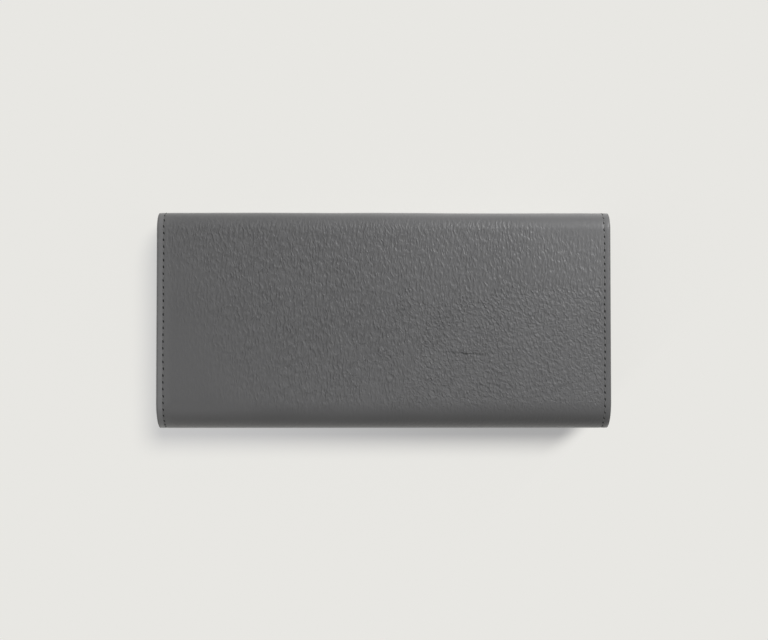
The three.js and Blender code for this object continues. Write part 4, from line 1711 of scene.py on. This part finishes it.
low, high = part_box("zip_slider")
puller_low, puller_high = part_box("zip_puller")
plate_top = puller_low.y - PULLER_PLAY
nose_half = (high.z - low.z) / 2
slider_x = (low.x + high.x) / 2
outside = tapered(low.x, high.x, nose_half, OUTSIDE_TAPER * nose_half, zip_middle, OUTSIDE_CORNER)
inside = tapered(low.x, high.x, INSIDE_HALF, INSIDE_HALF, zip_middle, INSIDE_CORNER)
neck_x = low.x + NECK_FROM_NOSE
neck = rectangle(
    neck_x - NECK_HALF, neck_x + NECK_HALF,
    zip_middle - NECK_HALF, zip_middle + NECK_HALF, radius=0.4 * MM,
)
pin_low = plate_top - 0.2 * MM
cap_low = puller_high.y + PULLER_PLAY
pivot = spun("pivot", [
    (0.0, pin_low), (1.0, pin_low), (1.0, cap_low), (1.65, cap_low), (1.8, cap_low + 0.15 * MM),
    (1.7, high.y - 0.1 * MM), (1.3, high.y), (0.0, high.y),
], (slider_x, zip_middle), upright=True)
finish_metal("slider_body", [
    from_curve("outside", [outside], plate_top - PLATE, plate_top, PLATE_RIM, upright=True),
    from_curve("inside", [inside], low.y, low.y + PLATE, PLATE_RIM, upright=True),
    from_curve("neck", [neck], low.y + PLATE / 2, plate_top - PLATE / 2, rim=0.1 * MM, upright=True),
    pivot,
], "zip_slider", "slider")

# %% The puller
EYE = 1.3 * MM
TAB_END = 2.2 * MM
TAB_SLOT_HALF = 0.8 * MM
TAB_SLOT_START = 4.6 * MM
TAB_SLOT_SHORT = 0.2 * MM
end_x = puller_high.x - TAB_END
tab = arc(slider_x, zip_middle, slider_x - puller_low.x, 90, 270, 16)
tab += arc(end_x, zip_middle, TAB_END, -90, 90, 16)
eye = arc(slider_x, zip_middle, EYE, 0, 360, 24)[:-1]
slot_line = rectangle(
    slider_x + TAB_SLOT_START, end_x - TAB_SLOT_SHORT,
    zip_middle - TAB_SLOT_HALF, zip_middle + TAB_SLOT_HALF, radius=0.7 * MM,
)
tab_mesh = from_curve(
    "tab", [tab, eye, slot_line], puller_low.y, puller_high.y, rim=0.25 * MM, upright=True
)
finish_metal("puller_tab", [tab_mesh], "zip_puller", "puller")

# %% The press stud
FLANGE_LIFT = 0.05 * MM
low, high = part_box("snap_stud")
snap = ((low.x + high.x) / 2, (low.y + high.y) / 2)
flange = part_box("card_slot_3")[1].z + FLANGE_LIFT
ring_and_knob = [
    (4.2, 0.0), (4.45, 0.1), (4.5, 0.25), (4.4, 0.42), (4.1, 0.5), (3.0, 0.42), (2.3, 0.5),
    (2.05, 0.75), (2.1, 0.95), (2.4, 1.15), (2.5, 1.35), (2.4, 1.55),
]
stud_profile = [
    (0.0, low.z), (1.3, low.z), (1.3, flange),
    *[(radius, flange + rise * MM) for radius, rise in ring_and_knob],
    (2.0, high.z - 0.04 * MM), (1.2, high.z), (0.0, high.z),
]
stud = spun("press_stud", stud_profile, snap, upright=False)
finish_metal("press_stud", [stud], "snap_stud", "front")
low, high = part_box("snap_socket")
funnel_and_rim = [
    (3.1, 0.5), (3.3, 0.3), (3.8, 0.25), (4.3, 0.3), (4.7, 0.1), (5.05, 0.0), (5.35, 0.1), (5.5, 0.35),
]
socket_profile = [
    (3.1, high.z), *[(radius, low.z + rise * MM) for radius, rise in funnel_and_rim], (5.5, high.z),
]
socket_ring = spun("press_socket", socket_profile, snap, upright=False, closed=True)
finish_metal("press_socket", [socket_ring], "snap_socket", "flap")

# %% [markdown]
# ## Pieces that stay as they are
#
# The boards, the rivet behind the socket and the eyelet behind the stud have their final shape already.
# They keep their solids and only get their finish.

# %% Finishes for the solids that stay
for node, finish in (
    ("flap_board", board),
    ("back_board", board),
    ("snap_socket_rivet", nickel),
    ("snap_stud_eyelet", nickel),
):
    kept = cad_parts[node]
    kept.data.materials.clear()
    kept.data.materials.append(finish)
print("kept solids have their finish")

# %% [markdown]
# ## Floor and light
#
# The wallet lies on a pale table in a pale room. A broad light hangs high, a little to the upper right, so
# the shadow falls a few millimetres to the left and below. The table also glows by itself, though it is no
# lamp: the glow is painted light that pales the shadow. It glows more towards the left, where the shadow
# is paler, and in full past the lower right corner, where the shadow ends. Glow and lit part always add up
# to the same tone, so the open table stays even. A second, smaller lamp stands near the upper right corner
# and
# lights only the wallet: it draws out the grain on that side. On the middle of the flap the lamps and the
# room add up to 1, so that a colour comes out as it is written.

# %% The floor
FLOOR_TONE = grey(232, 231, 227)
# Painted light: the glow pales the shadow, most at the left, and ends it past the lower right corner.
GLOW_LEFT = grey(192, 192, 193)
GLOW_RIGHT = grey(155, 155, 156)
GLOW_FADE = (-130.0, 85.0)
SHADOW_END = (129.0, 142.0)
FLOOR_REACH = 3.0
FLOOR_DROP = 0.35 * MM
SUN_SHARE = 0.72
ROOM_SHARE = 0.14


def lit_part(glow):
    """The colour that, under the lamps, adds up with this glow to the tone of the floor."""
    lit = [(whole - own) / (SUN_SHARE + ROOM_SHARE) for whole, own in zip(FLOOR_TONE[:3], glow)]
    return (*lit, 1.0)


def pale_table():
    """The floor, partly lit and partly glowing with painted light that pales its shadow."""
    made, field = new_finish("table")
    place = object_place(field)
    east, north = [field.node("ShaderNodeSeparateXYZ", {}, {0: place}, output=axis) for axis in (0, 1)]
    across = east.between(*GLOW_FADE)
    past_end = (east - north).between(*SHADOW_END)
    lit = across.tint(lit_part(GLOW_LEFT), lit_part(GLOW_RIGHT))
    glow = across.tint(GLOW_LEFT, GLOW_RIGHT)
    surface(field, {
        "Base Color": past_end.tint(lit, lit_part(FLOOR_TONE)),
        "Roughness": 1.0,
        "Specular IOR Level": 0.0,
        "Emission Color": past_end.tint(glow, FLOOR_TONE),
        "Emission Strength": 1.0,
    })
    return made


reach = (-FLOOR_REACH, FLOOR_REACH)
corners = [(x, y, -FLOOR_DROP) for x in reach for y in reach]
floor = new_piece("table", corners, [(0, 2, 3, 1)])
floor.data.materials.append(pale_table())
print("floor", 2 * FLOOR_REACH, "m wide")

# %% The lamps and the room
SUN_TILT = (0.3, 0.48)
SUN_DISC = 27
WINDOW_PLACE = Vector((0.374, 0.280, 0.315))
WINDOW_AIM = Vector((0.194, 0.202, 0.020))
WINDOW_CONE = 64.8
WINDOW_POWER = 15.0
WINDOW_RADIUS = 0.06
scene = bpy.context.scene
scene.view_settings.view_transform = "Standard"


def add_lamp(name, kind, place, toward):
    """A lamp at a place, that shines along a direction."""
    made = bpy.data.objects.new(name, bpy.data.lights.new(name, kind))
    made.location = place
    made.rotation_mode = "QUATERNION"
    made.rotation_quaternion = toward.to_track_quat("-Z", "Y")
    scene.collection.objects.link(made)
    return made


sun_from = Vector((*SUN_TILT, 1.0)).normalized()
sun = add_lamp("sun", "SUN", sun_from, -sun_from)
sun.data.energy = SUN_SHARE * math.pi / sun_from.z
sun.data.angle = math.radians(SUN_DISC)
sun.visible_glossy = False

window = add_lamp("window", "SPOT", WINDOW_PLACE, WINDOW_AIM - WINDOW_PLACE)
window.data.energy = WINDOW_POWER
window.data.spot_size = math.radians(WINDOW_CONE)
window.data.spot_blend = 1.0
window.data.shadow_soft_size = WINDOW_RADIUS
table_only = bpy.data.collections.new("table_only")
table_only.objects.link(floor)
window.light_linking.receiver_collection = table_only
table_only.collection_objects[0].light_linking.link_state = "EXCLUDE"

world = bpy.data.worlds.new("room")
world.use_nodes = True
world.node_tree.nodes.clear()
scene.world = world
field = Field(world.node_tree)
seen = [field.node("ShaderNodeLightPath", {}, {}, output=f"Is {ray} Ray")
        for ray in ("Camera", "Glossy", "Transmission")]
light = field.node("ShaderNodeBackground", {}, {"Color": (1.0, 1.0, 1.0, 1.0), "Strength": ROOM_SHARE})
backdrop = field.node("ShaderNodeBackground", {}, {"Color": FLOOR_TONE, "Strength": 1.0})
direct = seen[0] + seen[1] + seen[2]
shown = field.node("ShaderNodeMixShader", {}, {0: direct, 1: light, 2: backdrop})
field.node("ShaderNodeOutputWorld", {}, {"Surface": shown})
print("sun", round(sun.data.energy, 2), "room", ROOM_SHARE, "window", WINDOW_POWER)

# %% [markdown]
# ## Camera
#
# The camera hangs over the wallet, a little to the left of its middle and towards its free edge, and
# looks at the middle of the flap. How near it hangs decides how far the sides draw together. The lens
# then follows from how many pixels wide the flap has to be.

# %% The camera
IMAGE_WIDTH = 768
SENSOR = 36.0
FACE_PIXELS = 455.1
CAMERA_PLACE = Vector((-0.0049, -0.0151, 0.586))
CAMERA_AIM = Vector((0.0, 0.0, top_face))
camera = bpy.data.objects.new("camera", bpy.data.cameras.new("camera"))
camera.data.sensor_width = SENSOR
pixels_per_metre = FACE_PIXELS / (2 * half_width)
camera.data.lens = SENSOR * pixels_per_metre * (CAMERA_PLACE - CAMERA_AIM).length / IMAGE_WIDTH
camera.location = CAMERA_PLACE
backward = (CAMERA_PLACE - CAMERA_AIM).normalized()
rightward = Vector((0, 1, 0)).cross(backward).normalized()
camera.rotation_mode = "QUATERNION"
turned_axes = Matrix((rightward, backward.cross(rightward), backward)).transposed()
camera.rotation_quaternion = turned_axes.to_quaternion()
scene.collection.objects.link(camera)
scene.camera = camera
print("lens", round(camera.data.lens, 1), "mm")
